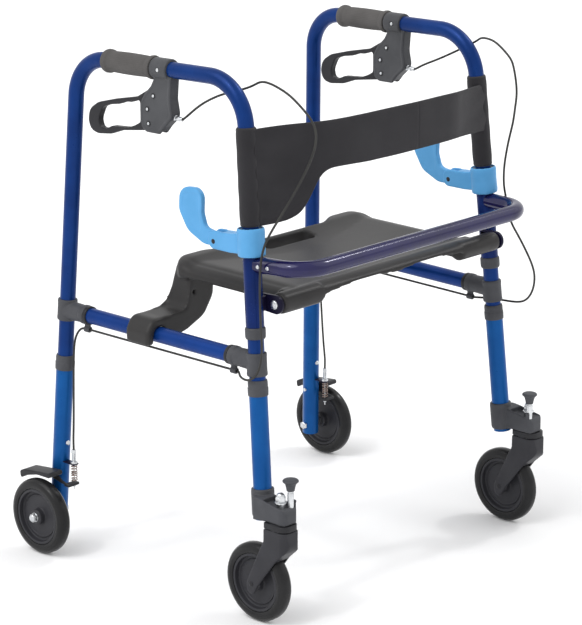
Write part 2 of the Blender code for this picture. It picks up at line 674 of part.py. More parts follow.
def caster_fork_mesh(side):
    """Moulded fork, trailing back from its swivel pin to the wheel's axle."""
    swivel, centre = swivel_point(side), caster_centre(side)
    top, hub_z = SWIVEL_Z - 0.0025, centre.z
    outline = rounded([(0.0230, top, 0.003), (-0.0235, top, 0.003), (-0.0270, top - 0.0240, 0.02),
                       (-0.0070, top - 0.0520, 0.02), (CASTER_TRAIL - 0.0190, hub_z - 0.003, 0.012),
                       (CASTER_TRAIL - 0.0010, hub_z - 0.0155, 0.013), (CASTER_TRAIL + 0.0155, hub_z + 0.003, 0.013),
                       (0.0230, top - 0.0430, 0.03)])
    outline = [(swivel.y + along, height) for along, height in outline]
    body = prism(outline, centre.x - FORK_HALF_WIDTH, centre.x + FORK_HALF_WIDTH, ease=0.0012)
    room = FORK_HALF_WIDTH - FORK_PLATE
    wheel_well = across(centre, [(WHEEL_R + TREAD_GAP, -room), (WHEEL_R + TREAD_GAP, room)], 28)
    axle_bore = across(centre, [(AXLE_R + GAP, -0.03), (AXLE_R + GAP, 0.03)], 12)
    race = upright_rod(swivel.x, swivel.y, 0.150, SWIVEL_Z - GAP, 0.0165, 16)
    kingpin = upright_rod(swivel.x, swivel.y, 0.150, KINGPIN_NUT_Z[1] - 0.002, KINGPIN_R)
    nut = upright_rod(swivel.x, swivel.y, *KINGPIN_NUT_Z, KINGPIN_NUT_R, 6)
    return joined(cut(body, wheel_well, axle_bore), race, kingpin, nut)


def caster_axle_mesh(side):
    """Axle bolt of a caster, with its head and nut outside the fork."""
    edge = FORK_HALF_WIDTH + GAP
    stations = [(0.0058, -edge - 0.0045), (0.0068, -edge - 0.0030), (0.0068, -edge), (AXLE_R, -edge),
                (AXLE_R, edge), (0.0068, edge), (0.0068, edge + 0.0030), (0.0058, edge + 0.0045)]
    return across(caster_centre(side), stations, 12)


def hub_mesh(centre):
    """Wheel hub: rim, recessed disc and boss."""
    half = TYRE_WIDTH / 2
    face = [(AXLE_R + GAP, half + 0.001), (HUB_BOSS_R, half + 0.001), (HUB_BOSS_R + 0.001, half - 0.007),
            (HUB_R - 0.007, half - 0.006), (HUB_R - 0.005, half - 0.001), (HUB_R - GAP, half - 0.001)]
    stations = face + [(radius, -x) for radius, x in reversed(face)]
    return across(centre, stations, closed=True)


def tyre_mesh(centre):
    """Tyre with a crowned tread."""
    half = TYRE_WIDTH / 2
    face = [(HUB_R, half), (WHEEL_R - 0.0055, half), (WHEEL_R - 0.0015, half - 0.004), (WHEEL_R, half - 0.0085)]
    stations = face + [(radius, -x) for radius, x in reversed(face)]
    return across(centre, stations, closed=True)


def rear_axle_mesh(side):
    """Axle bolt from the rear leg's inner side to the nut outside the wheel."""
    leg = LEG_R + 0.001
    boss = TYRE_WIDTH / 2 + 0.001 + GAP
    near, far = REAR_WHEEL_OUT - boss, REAR_WHEEL_OUT + boss
    stations = [(0.0066, -leg - 0.0055), (0.0072, -leg - 0.0040), (0.0072, -leg), (AXLE_R, -leg), (AXLE_R, leg),
                (0.0072, leg), (0.0072, near), (AXLE_R, near), (AXLE_R, far), (0.0080, far), (0.0080, far + 0.006),
                (0.0055, far + 0.0095)]
    centre = axle_point(side) - X_AXIS * side * REAR_WHEEL_OUT
    return across(centre, [(radius, side * x) for radius, x in stations], 12)


def brake_arm_mesh(side):
    """Arm on the rear leg's outer side: spring seat in front, pad over the tyre behind."""
    pivot = brake_pivot(side)
    inner = abs(pivot.x) + LEG_R + 0.0009
    outer = inner + BRAKE_ARM_THICKNESS
    wheel = axle_point(side)
    stop = cable_stop(side, BRAKE_SEAT_Z)
    seat_x, seat_y = abs(stop.x), stop.y
    seat_low = BRAKE_SEAT_Z - BRAKE_ARM_THICKNESS
    plate = rounded([(seat_y - 0.005, seat_low + 0.0005, 0), (seat_y - 0.005, BRAKE_SEAT_Z - 0.0005, 0),
                     (seat_y + 0.012, BRAKE_SEAT_Z + 0.004, 0.006), (pivot.y, BRAKE_PIVOT_Z + 0.009, 0.008),
                     (wheel.y + 0.006, 0.1480, 0.008), (wheel.y + 0.024, 0.1440, 0.004),
                     (wheel.y + 0.022, 0.1350, 0.004), (pivot.y + 0.008, BRAKE_PIVOT_Z - 0.006, 0.006),
                     (pivot.y - 0.006, BRAKE_PIVOT_Z - 0.009, 0.006)])
    seat = [(seat_y - 0.006, seat_low), (seat_y + 0.006, seat_low), (seat_y + 0.006, BRAKE_SEAT_Z),
            (seat_y - 0.006, BRAKE_SEAT_Z)]
    arcs = []
    for radius, angles in ((WHEEL_R + PAD_GAP, PAD_ANGLES), (WHEEL_R + PAD_GAP + PAD_HEIGHT, PAD_ANGLES[::-1])):
        for step in range(6):
            angle = radians(angles[0] + (angles[1] - angles[0]) * step / 5)
            arcs.append((wheel.y + radius * cos(angle), wheel.z + radius * sin(angle)))
    pad_out = abs(wheel.x) + TYRE_WIDTH / 2 + 0.001

    def slab(outline, low, high):
        return prism(outline, *sorted((side * low, side * high)))

    pin = across(pivot, [(BRAKE_PIN_R, side * (inner + 0.002 - abs(pivot.x))),
                         (BRAKE_PIN_R, side * (-LEG_R - 0.003))], 12)
    return joined(slab(plate, inner, outer), slab(seat, seat_x - 0.006, outer - 0.0005),
                  slab(arcs, inner + 0.0005, pad_out), pin)


def spring_points(side):
    """Centre line of the brake spring: a helix between its seat and the cable stop."""
    low, high = BRAKE_SEAT_Z + GAP + 2 * SPRING_WIRE_R, CABLE_STOP_Z - GAP - 2 * SPRING_WIRE_R
    centre = cable_stop(side, 0.0)
    count = SPRING_TURNS * 8
    coil = []
    for i in range(count + 1):
        angle = 2 * pi * i / 8
        coil.append(centre + Vector((SPRING_R * cos(angle), SPRING_R * sin(angle), low + (high - low) * i / count)))
    return [coil[0] - Z_AXIS * 2 * SPRING_WIRE_R] + coil + [coil[-1] + Z_AXIS * 2 * SPRING_WIRE_R]


def least_gap(points, wire_r):
    """Least gap of a coil to itself, between points at least half a turn apart."""
    gaps = [(points[i] - points[j]).length for i in range(len(points)) for j in range(i + 5, len(points))]
    return min(gaps) - 2 * wire_r


def curve_tube(points, radius, resolution):
    """Tube along points, with filled ends."""
    curve = bpy.data.curves.new("tube", "CURVE")
    curve.dimensions = "3D"
    curve.bevel_depth = radius
    curve.bevel_resolution = resolution
    curve.use_fill_caps = True
    spline = curve.splines.new("POLY")
    spline.points.add(len(points) - 1)
    for point, place in zip(spline.points, points):
        point.co = (*place, 1.0)
    spline.use_smooth = True
    return curve


# Routes of the brake cables, as (out, back, up) from points of the frame. Both pass the front bend
# outside, loop in front of the upright, pass outside it under the tee and run below the rail.
OVER_CORNER = [(0.0185, 0.1099, -0.0710), (0.0200, 0.0729, -0.0510), (0.0185, 0.0279, -0.0270),
               (0.0135, -0.0101, -0.0090), (-0.0075, -0.0361, 0.0), (-0.0245, -0.0591, -0.0030),
               (-0.0300, -0.0841, -0.0160), (-0.0335, -0.1081, -0.0410), (-0.0340, -0.1171, -0.0710),
               (-0.0295, -0.1111, -0.1050)]
PAST_COLLAR = [(-0.0289, -0.0798, 0.0835), (-0.0169, -0.0648, 0.0475), (-0.0029, -0.0488, 0.0115),
               (0.0091, -0.0378, -0.0195), (0.0171, -0.0368, -0.0525)]
NEAR_LOOP = [(0.0116, -0.0189, 0.1110), (0.0121, -0.0209, 0.0610), (0.0141, -0.0249, 0.0210),
             (0.0191, -0.0209, -0.0100)]
WIDE_LOOP = [(0.0091, -0.0289, 0.1190), (0.0081, -0.0509, 0.0920), (0.0081, -0.0759, 0.0560),
             (0.0081, -0.0834, 0.0310), (0.0111, -0.0749, 0.0030), (0.0161, -0.0509, -0.0180)]
UNDER_TEE = [(0.0216, -0.0029, -0.0248), (0.0165, 0.0191, -0.0248)]
BEFORE_REAR_LEG = [(0.0002, -0.0309, 0.3800), (0.0005, -0.0218, 0.3620), (0.0006, -0.0208, 0.3300),
                   (0.0010, -0.0240, 0.2800), (0.0018, -0.0283, 0.2250)]


def smooth_route(points, count):
    """Points on a Catmull-Rom curve through the route's own points, closer together in its bends."""
    padded = [points[0] * 2 - points[1]] + points + [points[-1] * 2 - points[-2]]
    fine = []
    for p0, p1, p2, p3 in zip(padded, padded[1:], padded[2:], padded[3:]):
        for step in range(12):
            t = step / 12
            fine.append(0.5 * (2 * p1 + (p2 - p0) * t + (2 * p0 - 5 * p1 + 4 * p2 - p3) * t ** 2
                               + (3 * p1 - p0 - 3 * p2 + p3) * t ** 3))
    fine.append(points[-1])
    steps = [after - before for before, after in zip(fine, fine[1:])]
    bends = [0.0] + [one.angle(two) for one, two in zip(steps, steps[1:])]
    worth = [0.0]
    for step, bend in zip(steps, bends):
        worth.append(worth[-1] + step.length / 0.07 + bend / radians(18))
    even, j = [], 0
    for i in range(count):
        target = worth[-1] * i / (count - 1)
        while j < len(fine) - 2 and worth[j + 1] < target:
            j += 1
        t = (target - worth[j]) / max(worth[j + 1] - worth[j], 1e-9)
        even.append(fine[j].lerp(fine[j + 1], min(t, 1.0)))
    return even, sum(step.length for step in steps)


def offset(datum, side, out, back, up):
    """Point beside a datum, measured outwards, to the rear and up."""
    return datum + Vector((side * out, back, up))


def cable_points(side):
    """Centre line of a brake cable and its length."""
    datum = under_grip(side)
    start = offset(datum, side, 0, -0.0305 - FERRULE_LENGTH - 0.006 - GAP, -FERRULE_DROP)
    corner, collar_top = front_axis(side, FRONT_CORNER_Z), front_axis(side, COLLAR_Z[1])
    tee = front_axis(side, RAIL_Z)
    front_strap, rear_strap = strap_point(side, front_axis, 1), strap_point(side, rear_axis, -1)
    route = [start - Y_AXIS * 0.004]
    route += [offset(corner, side, *step) for step in OVER_CORNER]
    route += [offset(collar_top, side, *step) for step in PAST_COLLAR]
    route += [offset(tee, side, *step) for step in (NEAR_LOOP if side == RIGHT else WIDE_LOOP) + UNDER_TEE]
    route += [front_strap - Y_AXIS * 0.009, front_strap + Y_AXIS * 0.012]
    route += [front_strap.lerp(rear_strap, 0.5), rear_strap - Y_AXIS * 0.010, rear_strap + Y_AXIS * 0.008]
    route += [offset(rear_axis(side, z), side, out, back, 0) for out, back, z in BEFORE_REAR_LEG]
    route += [cable_stop(side, ADJUSTER_TOP_Z + step) for step in (0.0200, 0.0050)]
    middle, length = smooth_route(route, CABLE_POINTS)
    return [start] + middle + [cable_stop(side, ADJUSTER_TOP_Z + GAP)], length


def front_bow_mesh():
    """Bow in front of the brace, its ends saddled on the brace sleeves."""
    corners = [front_axis(RIGHT, BOW_Z), Vector((-BOW_CORNER_X, BOW_FRONT_Y, BOW_Z)),
               Vector((BOW_CORNER_X, BOW_FRONT_Y, BOW_Z)), front_axis(LEFT, BOW_Z)]
    tube = swept(bent(corners, (BOW_BEND_R, BOW_BEND_R)), TUBE_R, aim=Z_AXIS)
    saddles = [rod(front_axis(side, BOW_Z - 0.04), front_axis(side, BOW_Z + 0.04), LEG_R + GAP)
               for side in (RIGHT, LEFT)]
    return cut(tube, *saddles)


def cross_tube_mesh():
    """Seat's pivot tube with an end bolt and its head at each end."""
    head_face = CROSS_TUBE_HALF + GAP + PIVOT_PLATE + GAP
    half = [(PIVOT_BOLT_HEAD_R - 0.001, head_face + PIVOT_BOLT_HEAD), (PIVOT_BOLT_HEAD_R, head_face + 0.002),
            (PIVOT_BOLT_HEAD_R, head_face), (PIVOT_BOLT_R, head_face), (PIVOT_BOLT_R, CROSS_TUBE_HALF),
            (TUBE_R, CROSS_TUBE_HALF)]
    stations = half + [(radius, -x) for radius, x in reversed(half)]
    return across(Vector((0, PIVOT_Y, PIVOT_Z)), stations, TUBE_SIDES)


def brace_sleeve_mesh(side):
    """Sleeve round the front upright, with the cross tube's bracket welded to its inner side."""
    inner = CROSS_TUBE_HALF + GAP
    outline = rounded([(PIVOT_Y - PIVOT_BOSS_R, PIVOT_Z + PIVOT_BOSS_R, PIVOT_BOSS_R),
                       (PIVOT_Y - PIVOT_BOSS_R, PIVOT_Z - PIVOT_BOSS_R, PIVOT_BOSS_R),
                       (FRONT_Y, PIVOT_Z - 0.013, 0.002), (FRONT_Y, PIVOT_Z + 0.013, 0.002)], 4)
    plate = prism(outline, *sorted((side * inner, side * (inner + PIVOT_PLATE))), ease=0.0004)
    outer = FRONT_HALF_WIDTH - 0.004
    wing = block((min(side * inner, side * outer), FRONT_Y - 0.014, PIVOT_Z - 0.012),
                 (max(side * inner, side * outer), FRONT_Y + 0.002, PIVOT_Z + 0.012))
    bore = rod(front_axis(side, PIVOT_Z - 0.05), front_axis(side, PIVOT_Z + 0.05), LEG_R - LEG_WALL / 2)
    hole = across(Vector((0, PIVOT_Y, PIVOT_Z)), [(PIVOT_BOLT_R + GAP, side * 0.2), (PIVOT_BOLT_R + GAP, side * 0.3)], 12)
    sleeve = collar(front_axis, side, LEG_R, TUBE_R + GAP, *BRACE_SLEEVE_Z, ease=0.0004)
    return joined(sleeve, cut(joined(plate, wing), bore, hole))


# Half of the backrest's plan and the right half's edges, from the middle to the upright:
# (x, y, lower z, upper z). The right half flares down along its sleeve, and the left one doesn't.
BAND_STATIONS = [(0.000, -0.1750, 0.6875, 0.7645), (0.060, -0.1745, 0.6880, 0.7645), (0.110, -0.1715, 0.6900, 0.7645),
                 (0.138, -0.1680, 0.6900, 0.7645), (0.152, -0.1648, 0.6850, 0.7645), (0.160, -0.1625, 0.6770, 0.7645),
                 (0.169, -0.1590, 0.6570, 0.7645), (0.178, -0.1550, 0.6390, 0.7645), (0.190, -0.1490, 0.6255, 0.7645),
                 (0.212, -0.1395, 0.6185, 0.7645), (0.237, -0.1310, 0.6170, 0.7645), (0.262, -0.1260, 0.6170, 0.7645)]
LEFT_BAND_EDGES = [(0.6875, 0.7645), (0.6880, 0.7642), (0.6872, 0.7635), (0.6867, 0.7625), (0.6862, 0.7617),
                   (0.6857, 0.7610), (0.6848, 0.7600), (0.6838, 0.7589), (0.6824, 0.7573), (0.6805, 0.7553),
                   (0.6785, 0.7535), (0.6770, 0.7520)]
BAND_STATIONS_HALF_WIDTH = 0.2758


def backrest_mesh():
    """Backrest band, bowed forward between a sleeve round each front upright."""
    half = BAND_THICKNESS / 2
    widen = FRONT_HALF_WIDTH / BAND_STATIONS_HALF_WIDTH
    right = [(-x * widen, y, low, high) for x, y, low, high in BAND_STATIONS]
    left = [(x * widen, y, *edges) for (x, y, low, high), edges in zip(BAND_STATIONS, LEFT_BAND_EDGES)]
    stations = right[:0:-1] + left
    rings = []
    for i, (x, y, low, high) in enumerate(stations):
        before, after = stations[max(i - 1, 0)], stations[min(i + 1, len(stations) - 1)]
        along = Vector((after[0] - before[0], after[1] - before[1])).normalized()
        out = Vector((-along.y, along.x)) * half
        edge = half * 0.5
        section = [(1, low + edge), (0.5, low), (-0.5, low), (-1, low + edge),
                   (-1, high - edge), (-0.5, high), (0.5, high), (1, high - edge)]
        rings.append([Vector((x + out.x * k, y + out.y * k, z)) for k, z in section])
    band = loft(rings)
    for side in (RIGHT, LEFT):
        low, high = BAND_SLEEVE_Z
        sleeve = on_upright(front_axis, side, [(BAND_SLEEVE_R, low), (BAND_SLEEVE_R, high)])
        bore = rod(front_axis(side, low - 0.05), front_axis(side, high + 0.05), TUBE_R + 2 * GAP)
        band = cut(joined(band, sleeve), bore)
    return band


def seat_rear(x):
    """Y of the seat's rear edge: a lobe at each side of a straighter middle."""
    lobe = min(max((abs(x) - 0.105) / 0.05, 0.0), 1.0)
    smooth = lobe * lobe * (3 - 2 * lobe)
    corner = max(abs(x) - (SEAT_HALF_WIDTH - 0.040), 0.0) / 0.040
    return SEAT_MID_REAR_Y + (SEAT_LOBE_REAR_Y - SEAT_MID_REAR_Y) * smooth - 0.030 * corner ** 2.5


def seat_top(x, y):
    """Height of the seat's top: dished in the middle, raised at the sides."""
    side_rise = min(abs(x) / (SEAT_HALF_WIDTH - 0.03), 1.0) ** 2
    rear_rise = min(max((y - 0.0) / 0.08, 0.0), 1.0) ** 2
    front_rise = min(max((-0.110 - y) / 0.05, 0.0), 1.0) ** 2
    rise = max(side_rise, 0.7 * rear_rise, front_rise)
    return SEAT_TOP_Z - SEAT_DISH * (1 - rise)


def seat_section(x):
    """Closed outline of the seat in (Y, Z) at one x: front barrel, dished top, rear edge, underside."""
    edge = max(abs(x) - (SEAT_HALF_WIDTH - 0.010), 0.0) / 0.010
    drop = 0.013 * (1 - (max(1 - edge ** 2, 0.0)) ** 0.5)
    rear = seat_rear(x)
    barrel_r = SEAT_BARREL_R - drop * 0.15
    section = []
    for step in range(6):
        angle = radians(-90 - 36 * step)
        section.append((PIVOT_Y + barrel_r * cos(angle), PIVOT_Z + barrel_r * sin(angle)))
    for y in (-0.140, -0.080, 0.000, 0.040, rear - 0.014):
        section.append((y, min(seat_top(x, y), SEAT_TOP_Z) - drop))
    top = seat_top(x, rear) - drop
    section += [(rear - 0.004, top - 0.0025), (rear, top - 0.010), (rear, SEAT_RIM_Z + 0.003),
                (rear - 0.003, SEAT_RIM_Z), (PIVOT_Y + 0.022, SEAT_RIM_Z)]
    return [Vector((x, y, z)) for y, z in section]


def arm_mesh(side):
    """Seat arm: from under the rear corner down and out to a hook over the side rail."""
    rail = rail_axis(side, sum(ARM_Y) / 2)
    r = TUBE_R
    x, z = abs(rail.x), rail.z
    wide = SEAT_HALF_WIDTH
    outline = rounded([(wide - 0.037, 0.5020, 0.004), (wide - 0.0095, 0.4985, 0.010), (wide - 0.003, 0.4600, 0.020),
                       (x - 0.045, z + 0.0310, 0.020), (x + 0.020, z + 0.0305, 0.014),
                       (x + r + 0.0145, z + 0.006, 0.010), (x + r + 0.0135, z - 0.0145, 0.003),
                       (x + r - 0.010, z - 0.0145, 0), (x - 0.034, z - 0.0110, 0.004),
                       (wide + 0.001, 0.4075, 0.02), (wide - 0.033, 0.4250, 0.020), (wide - 0.051, 0.4480, 0.015),
                       (wide - 0.053, 0.5000, 0.004)])
    body = prism([(side * a, b) for a, b in outline], *ARM_Y, place=front_plane, ease=0.0015)
    reach = TUBE_R + SADDLE_GAP
    lean = ARM_RELIEF
    slot = [(reach * cos(radians(a)), reach * sin(radians(a))) for a in range(0, 90, 15)]
    slot += [(reach * cos(pi / 2 + lean * k / 3), reach * sin(pi / 2 + lean * k / 3)) for k in range(4)]
    slot += [(slot[-1][0] - 0.09 * cos(lean), slot[-1][1] - 0.09 * sin(lean)), (-0.09, -0.12), (reach, -0.12)]
    rings = [[rail_axis(side, y) + Vector((side * a, 0, b)) for a, b in slot]
             for y in (ARM_Y[0] - 0.03, ARM_Y[1] + 0.03)]
    return cut(body, loft(rings))


def seat_mesh():
    """Moulded seat: a ribbed shell with knuckles on the cross tube, a grab slot and two arms."""
    half = [0.0, 0.070, 0.105, 0.130, 0.155, SEAT_HALF_WIDTH - 0.035, SEAT_HALF_WIDTH - 0.018]
    half += [SEAT_HALF_WIDTH - step for step in (0.010, 0.005, 0.0015, 0.0)]
    xs = [-x for x in half[:0:-1]] + half
    shell = loft([seat_section(x) for x in xs])
    ceiling = SEAT_TOP_Z - SEAT_DISH - SEAT_WALL
    column_edges = [0.0, SLOT_HALF, 0.1385, SEAT_HALF_WIDTH - 0.012]
    row_edges = [PIVOT_Y + 0.024, -0.056, SLOT_Y[0] - 0.001]
    pockets = []
    for side in (RIGHT, LEFT):
        for inner, outer in zip(column_edges, column_edges[1:]):
            low, high = sorted((side * (inner + 0.0015), side * (outer - 0.0015)))
            for front, rear in zip(row_edges, row_edges[1:]):
                pockets.append(block((low, front + 0.0015, 0.45), (high, rear - 0.0015, ceiling)))
    slot = rounded([(-SLOT_HALF, SLOT_Y[0], 0.01), (SLOT_HALF, SLOT_Y[0], 0.01), (SLOT_HALF, SLOT_Y[1], 0.01),
                    (-SLOT_HALF, SLOT_Y[1], 0.01)])
    opening = prism(slot, 0.45, 0.55, place=lambda a, b, depth: Vector((a, b, depth)))
    bore = across(Vector((0, PIVOT_Y, PIVOT_Z)), [(TUBE_R + GAP, -0.3), (TUBE_R + GAP, 0.3)], TUBE_SIDES)
    return cut(joined(cut(shell, *pockets, opening), arm_mesh(RIGHT), arm_mesh(LEFT)), bore)


def build_brace(model):
    """The fixed front: bow, cross tube, sleeves, bushings and backrest, with the seat on it."""
    model.place("front_bow", front_bow_mesh(), None, "violet_tube")
    model.place("lower_cross_tube", cross_tube_mesh(), None, "violet_tube")
    for side in (RIGHT, LEFT):
        name = SIDE_NAMES[side]
        model.place(name + "_brace_sleeve", brace_sleeve_mesh(side), None, "blue_tube")
        bushing = collar(front_axis, side, BUSHING_R, TUBE_R + GAP, *SLEEVE_BUSHING_Z)
        model.place(name + "_sleeve_bushing", bushing, None, "charcoal_plastic")
    model.place("backrest", backrest_mesh(), None, "black_fabric")
    seat = model.body("seat_pivot", Vector((0, PIVOT_Y, PIVOT_Z)))
    model.place("seat", seat_mesh(), seat, "charcoal_plastic")


def build_side_frame(model, side):
    """One side frame with everything that turns with it."""
    name = SIDE_NAMES[side]
    frame = model.body(name + "_frame_pivot", front_axis(side, REFERENCE_Z))
    model.place(name + "_frame_tube", frame_tube_mesh(side), frame, "blue_tube")
    model.place(name + "_side_rail", side_rail_mesh(side), frame, "blue_tube")
    model.place(name + "_front_tee", tee_mesh(side, front_axis, FRONT_TEE_Z, 1), frame, "charcoal_plastic")
    model.place(name + "_rear_tee", tee_mesh(side, rear_axis, REAR_TEE_Z, -1), frame, "charcoal_plastic")
    model.place(name + "_grip", grip_mesh(side), frame, "grip_foam")
    model.place(name + "_brake_housing", brake_housing_mesh(side), frame, "charcoal_plastic")
    model.place(name + "_release_collar", collar_mesh(side), frame, "light_blue_plastic")
    points, length = cable_points(side)
    print(f"{name} brake cable: {length:.3f} m")
    model.place(name + "_brake_cable", curve_tube(points, CABLE_R, 2), frame, "black_plastic")

    paddle = model.body(name + "_paddle_pivot", paddle_pin(side), frame)
    model.place(name + "_release_paddle", paddle_mesh(side), paddle, "light_blue_plastic")
    lever = model.body(name + "_lever_pivot", under_grip(side) + Vector((0, *LEVER_PIVOT)), frame)
    model.place(name + "_brake_lever", brake_lever_mesh(side), lever, "charcoal_plastic")
    build_front_leg(model, side, frame)
    build_rear_leg(model, side, frame)


def build_front_leg(model, side, frame):
    """Telescopic front leg with its lockable swivel caster."""
    name = SIDE_NAMES[side]
    leg = model.body(name + "_front_leg_slide", front_axis(side, FRONT_LEG_Z[1]), frame)
    model.place(name + "_front_leg", front_leg_mesh(side), leg, "blue_leg")
    bushing = leg_collar_mesh(side, front_axis, FRONT_LEG_Z[1])
    model.place(name + "_front_leg_bushing", bushing, leg, "charcoal_plastic")
    model.place(name + "_caster_bracket", caster_bracket_mesh(side), leg, "charcoal_plastic")
    knob = model.body(name + "_knob_slide", plunger_point(side, PLUNGER_BARREL_Z), leg)
    model.place(name + "_lock_knob", lock_knob_mesh(side), knob, "charcoal_plastic")
    swivel = model.body(name + "_swivel", swivel_point(side), leg)
    model.place(name + "_caster_fork", caster_fork_mesh(side), swivel, "charcoal_plastic")
    model.place(name + "_caster_axle", caster_axle_mesh(side), swivel, "steel")
    wheel = model.body(name + "_caster_wheel", caster_centre(side), swivel)
    model.place(name + "_caster_hub", hub_mesh(caster_centre(side)), wheel, "wheel_plastic")
    model.place(name + "_caster_tyre", tyre_mesh(caster_centre(side)), wheel, "tyre_rubber")


def build_rear_leg(model, side, frame):
    """Telescopic rear leg with its fixed wheel and brake."""
    name = SIDE_NAMES[side]
    leg = model.body(name + "_rear_leg_slide", rear_axis(side, REAR_LEG_Z[1]), frame)
    model.place(name + "_rear_leg", rear_leg_mesh(side), leg, "blue_leg")
    bushing = leg_collar_mesh(side, rear_axis, REAR_LEG_Z[1])
    model.place(name + "_rear_leg_bushing", bushing, leg, "charcoal_plastic")
    model.place(name + "_rear_axle", rear_axle_mesh(side), leg, "steel")
    points = spring_points(side)
    print(f"{name} brake spring: least gap {1000 * least_gap(points, SPRING_WIRE_R):.2f} mm")
    model.place(name + "_brake_spring", curve_tube(points, SPRING_WIRE_R, 1), leg, "spring_steel")
    button = model.body(name + "_button_slide", rear_axis(side, BUTTON_Z), leg)
    model.place(name + "_snap_button", snap_button_mesh(side), button, "steel")
    arm = model.body(name + "_brake_arm_pivot", brake_pivot(side), leg)
    model.place(name + "_brake_arm", brake_arm_mesh(side), arm, "black_plastic")
    wheel = model.body(name + "_rear_wheel", axle_point(side), leg)
    model.place(name + "_rear_hub", hub_mesh(axle_point(side)), wheel, "wheel_plastic")
    model.place(name + "_rear_tyre", tyre_mesh(axle_point(side)), wheel, "tyre_rubber")


def main():
    """Clears the scene and builds the rollator."""
    for obj in list(bpy.data.objects):
        bpy.data.objects.remove(obj)
    model = Model()
    build_brace(model)
    for side in (RIGHT, LEFT):
        build_side_frame(model, side)


main()
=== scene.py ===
"""Looks of a folding rollator: fine surfaces, finishes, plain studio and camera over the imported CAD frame.

All sizes are metres in the frame that the part is modelled in (front towards -Y, the user's right at -X,
floor at Z 0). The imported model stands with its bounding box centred, so CAD_SHIFT carries every finished
vertex there.
"""

import logging
from collections.abc import Sequence
from dataclasses import dataclass
from enum import Enum

import bmesh
import bpy
import numpy as np
from mathutils import Matrix
from numpy.typing import NDArray

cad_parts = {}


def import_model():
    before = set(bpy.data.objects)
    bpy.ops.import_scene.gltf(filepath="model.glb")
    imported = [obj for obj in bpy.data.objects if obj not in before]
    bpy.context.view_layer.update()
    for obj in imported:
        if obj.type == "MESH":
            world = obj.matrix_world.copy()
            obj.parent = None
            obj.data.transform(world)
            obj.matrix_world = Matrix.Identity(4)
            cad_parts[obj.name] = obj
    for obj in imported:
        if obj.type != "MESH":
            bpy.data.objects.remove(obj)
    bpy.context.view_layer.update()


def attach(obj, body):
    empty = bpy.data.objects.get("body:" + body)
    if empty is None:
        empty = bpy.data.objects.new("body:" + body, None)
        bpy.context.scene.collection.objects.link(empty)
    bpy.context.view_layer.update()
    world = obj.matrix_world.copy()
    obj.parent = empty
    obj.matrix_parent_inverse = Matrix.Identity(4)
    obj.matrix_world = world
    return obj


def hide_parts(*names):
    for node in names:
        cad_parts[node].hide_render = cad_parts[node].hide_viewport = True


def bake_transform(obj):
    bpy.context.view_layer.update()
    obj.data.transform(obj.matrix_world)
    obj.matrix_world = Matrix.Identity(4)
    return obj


LOG = logging.getLogger("rollator")
Array = NDArray[np.float64]
Corner = tuple[float, ...]

CAD_SHIFT = np.array([0.0, -0.0579, 0.0])
X_AXIS, Y_AXIS, Z_AXIS = np.eye(3)
MILLIMETRE = 0.001

# Sizes shared by several sub-assemblies
TUBE_R = 0.0127
LEG_R = 0.0143
WHEEL_R = 0.0635
AXLE_R = 0.004
PIN_R = 0.003
FRONT_TOP_Z, REAR_TOP_Z = 0.835, 0.825
RAIL_Z = 0.409
COLLAR_TOP_Z = 0.6145
SWIVEL_Z = 0.1605
SWIVEL_OUT, SWIVEL_AHEAD = 0.0108, 0.0461
CASTER_TRAIL = 0.047
AXLE_OUT, AXLE_BACK = 0.0372, 0.0019
REAR_BEND_R = 0.067
CABLE_STOP_Z = 0.1515
BRAKE_SEAT_Z = 0.121

# The uprights at the reference height: half width, y, and their change per metre below it
REFERENCE_Z = 0.5
FRONT_HALF_WIDTH, FRONT_SPLAY = 0.2758, 0.0337
FRONT_Y, FRONT_RAKE = -0.1372, 0.0874
REAR_HALF_WIDTH, REAR_SPLAY = 0.2844, 0.0411
REAR_Y, REAR_RAKE = 0.2698, 0.0511

# The brake cable's jacket and where it leaves the housing, from the grip's datum
CABLE_R = 0.0018
CABLE_START_BACK, CABLE_START_DROP = 0.0558, 0.0726


class Side(Enum):
    """The user's right or left, as the sign of X."""

    RIGHT = -1.0
    LEFT = 1.0

    @property
    def tag(self) -> str:
        """Name prefix of this side's nodes and bodies."""
        return self.name.lower()

    def node(self, name: str) -> str:
        """Full name of one of this side's nodes or bodies."""
        return f"{self.tag}_{name}"


def unit(vectors: Array) -> Array:
    """Vectors divided by their lengths."""
    return vectors / np.maximum(np.linalg.norm(vectors, axis=-1, keepdims=True), 1e-12)


def front_axis(side: Side, z: Array | float) -> Array:
    """Centre line of a front upright: x and y are straight-line functions of height z."""
    z = np.asarray(z, float)
    drop = REFERENCE_Z - z
    return np.stack([side.value * (FRONT_HALF_WIDTH + FRONT_SPLAY * drop), FRONT_Y - FRONT_RAKE * drop, z],
                    -1)


def rear_axis(side: Side, z: Array | float) -> Array:
    """Centre line of a rear upright: x and y are straight-line functions of height z."""
    z = np.asarray(z, float)
    drop = REFERENCE_Z - z
    return np.stack([side.value * (REAR_HALF_WIDTH + REAR_SPLAY * drop), REAR_Y + REAR_RAKE * drop, z], -1)


def between(start: Array, end: Array, y: Array | float) -> Array:
    """Points of the line from start to end at the given y."""
    share = (np.asarray(y, float) - start[1]) / (end[1] - start[1])
    return start + share[..., None] * (end - start)


def top_axis(side: Side, y: Array | float) -> Array:
    """Centre line of a top tube at the given y."""
    return between(front_axis(side, FRONT_TOP_Z), rear_axis(side, REAR_TOP_Z), y)


def rail_axis(side: Side, y: Array | float) -> Array:
    """Centre line of a side rail at the given y."""
    return between(front_axis(side, RAIL_Z), rear_axis(side, RAIL_Z), y)


def swivel_point(side: Side) -> Array:
    """Foot of a caster's swivel axis."""
    return front_axis(side, SWIVEL_Z) + np.array([side.value * SWIVEL_OUT, -SWIVEL_AHEAD, 0.0])


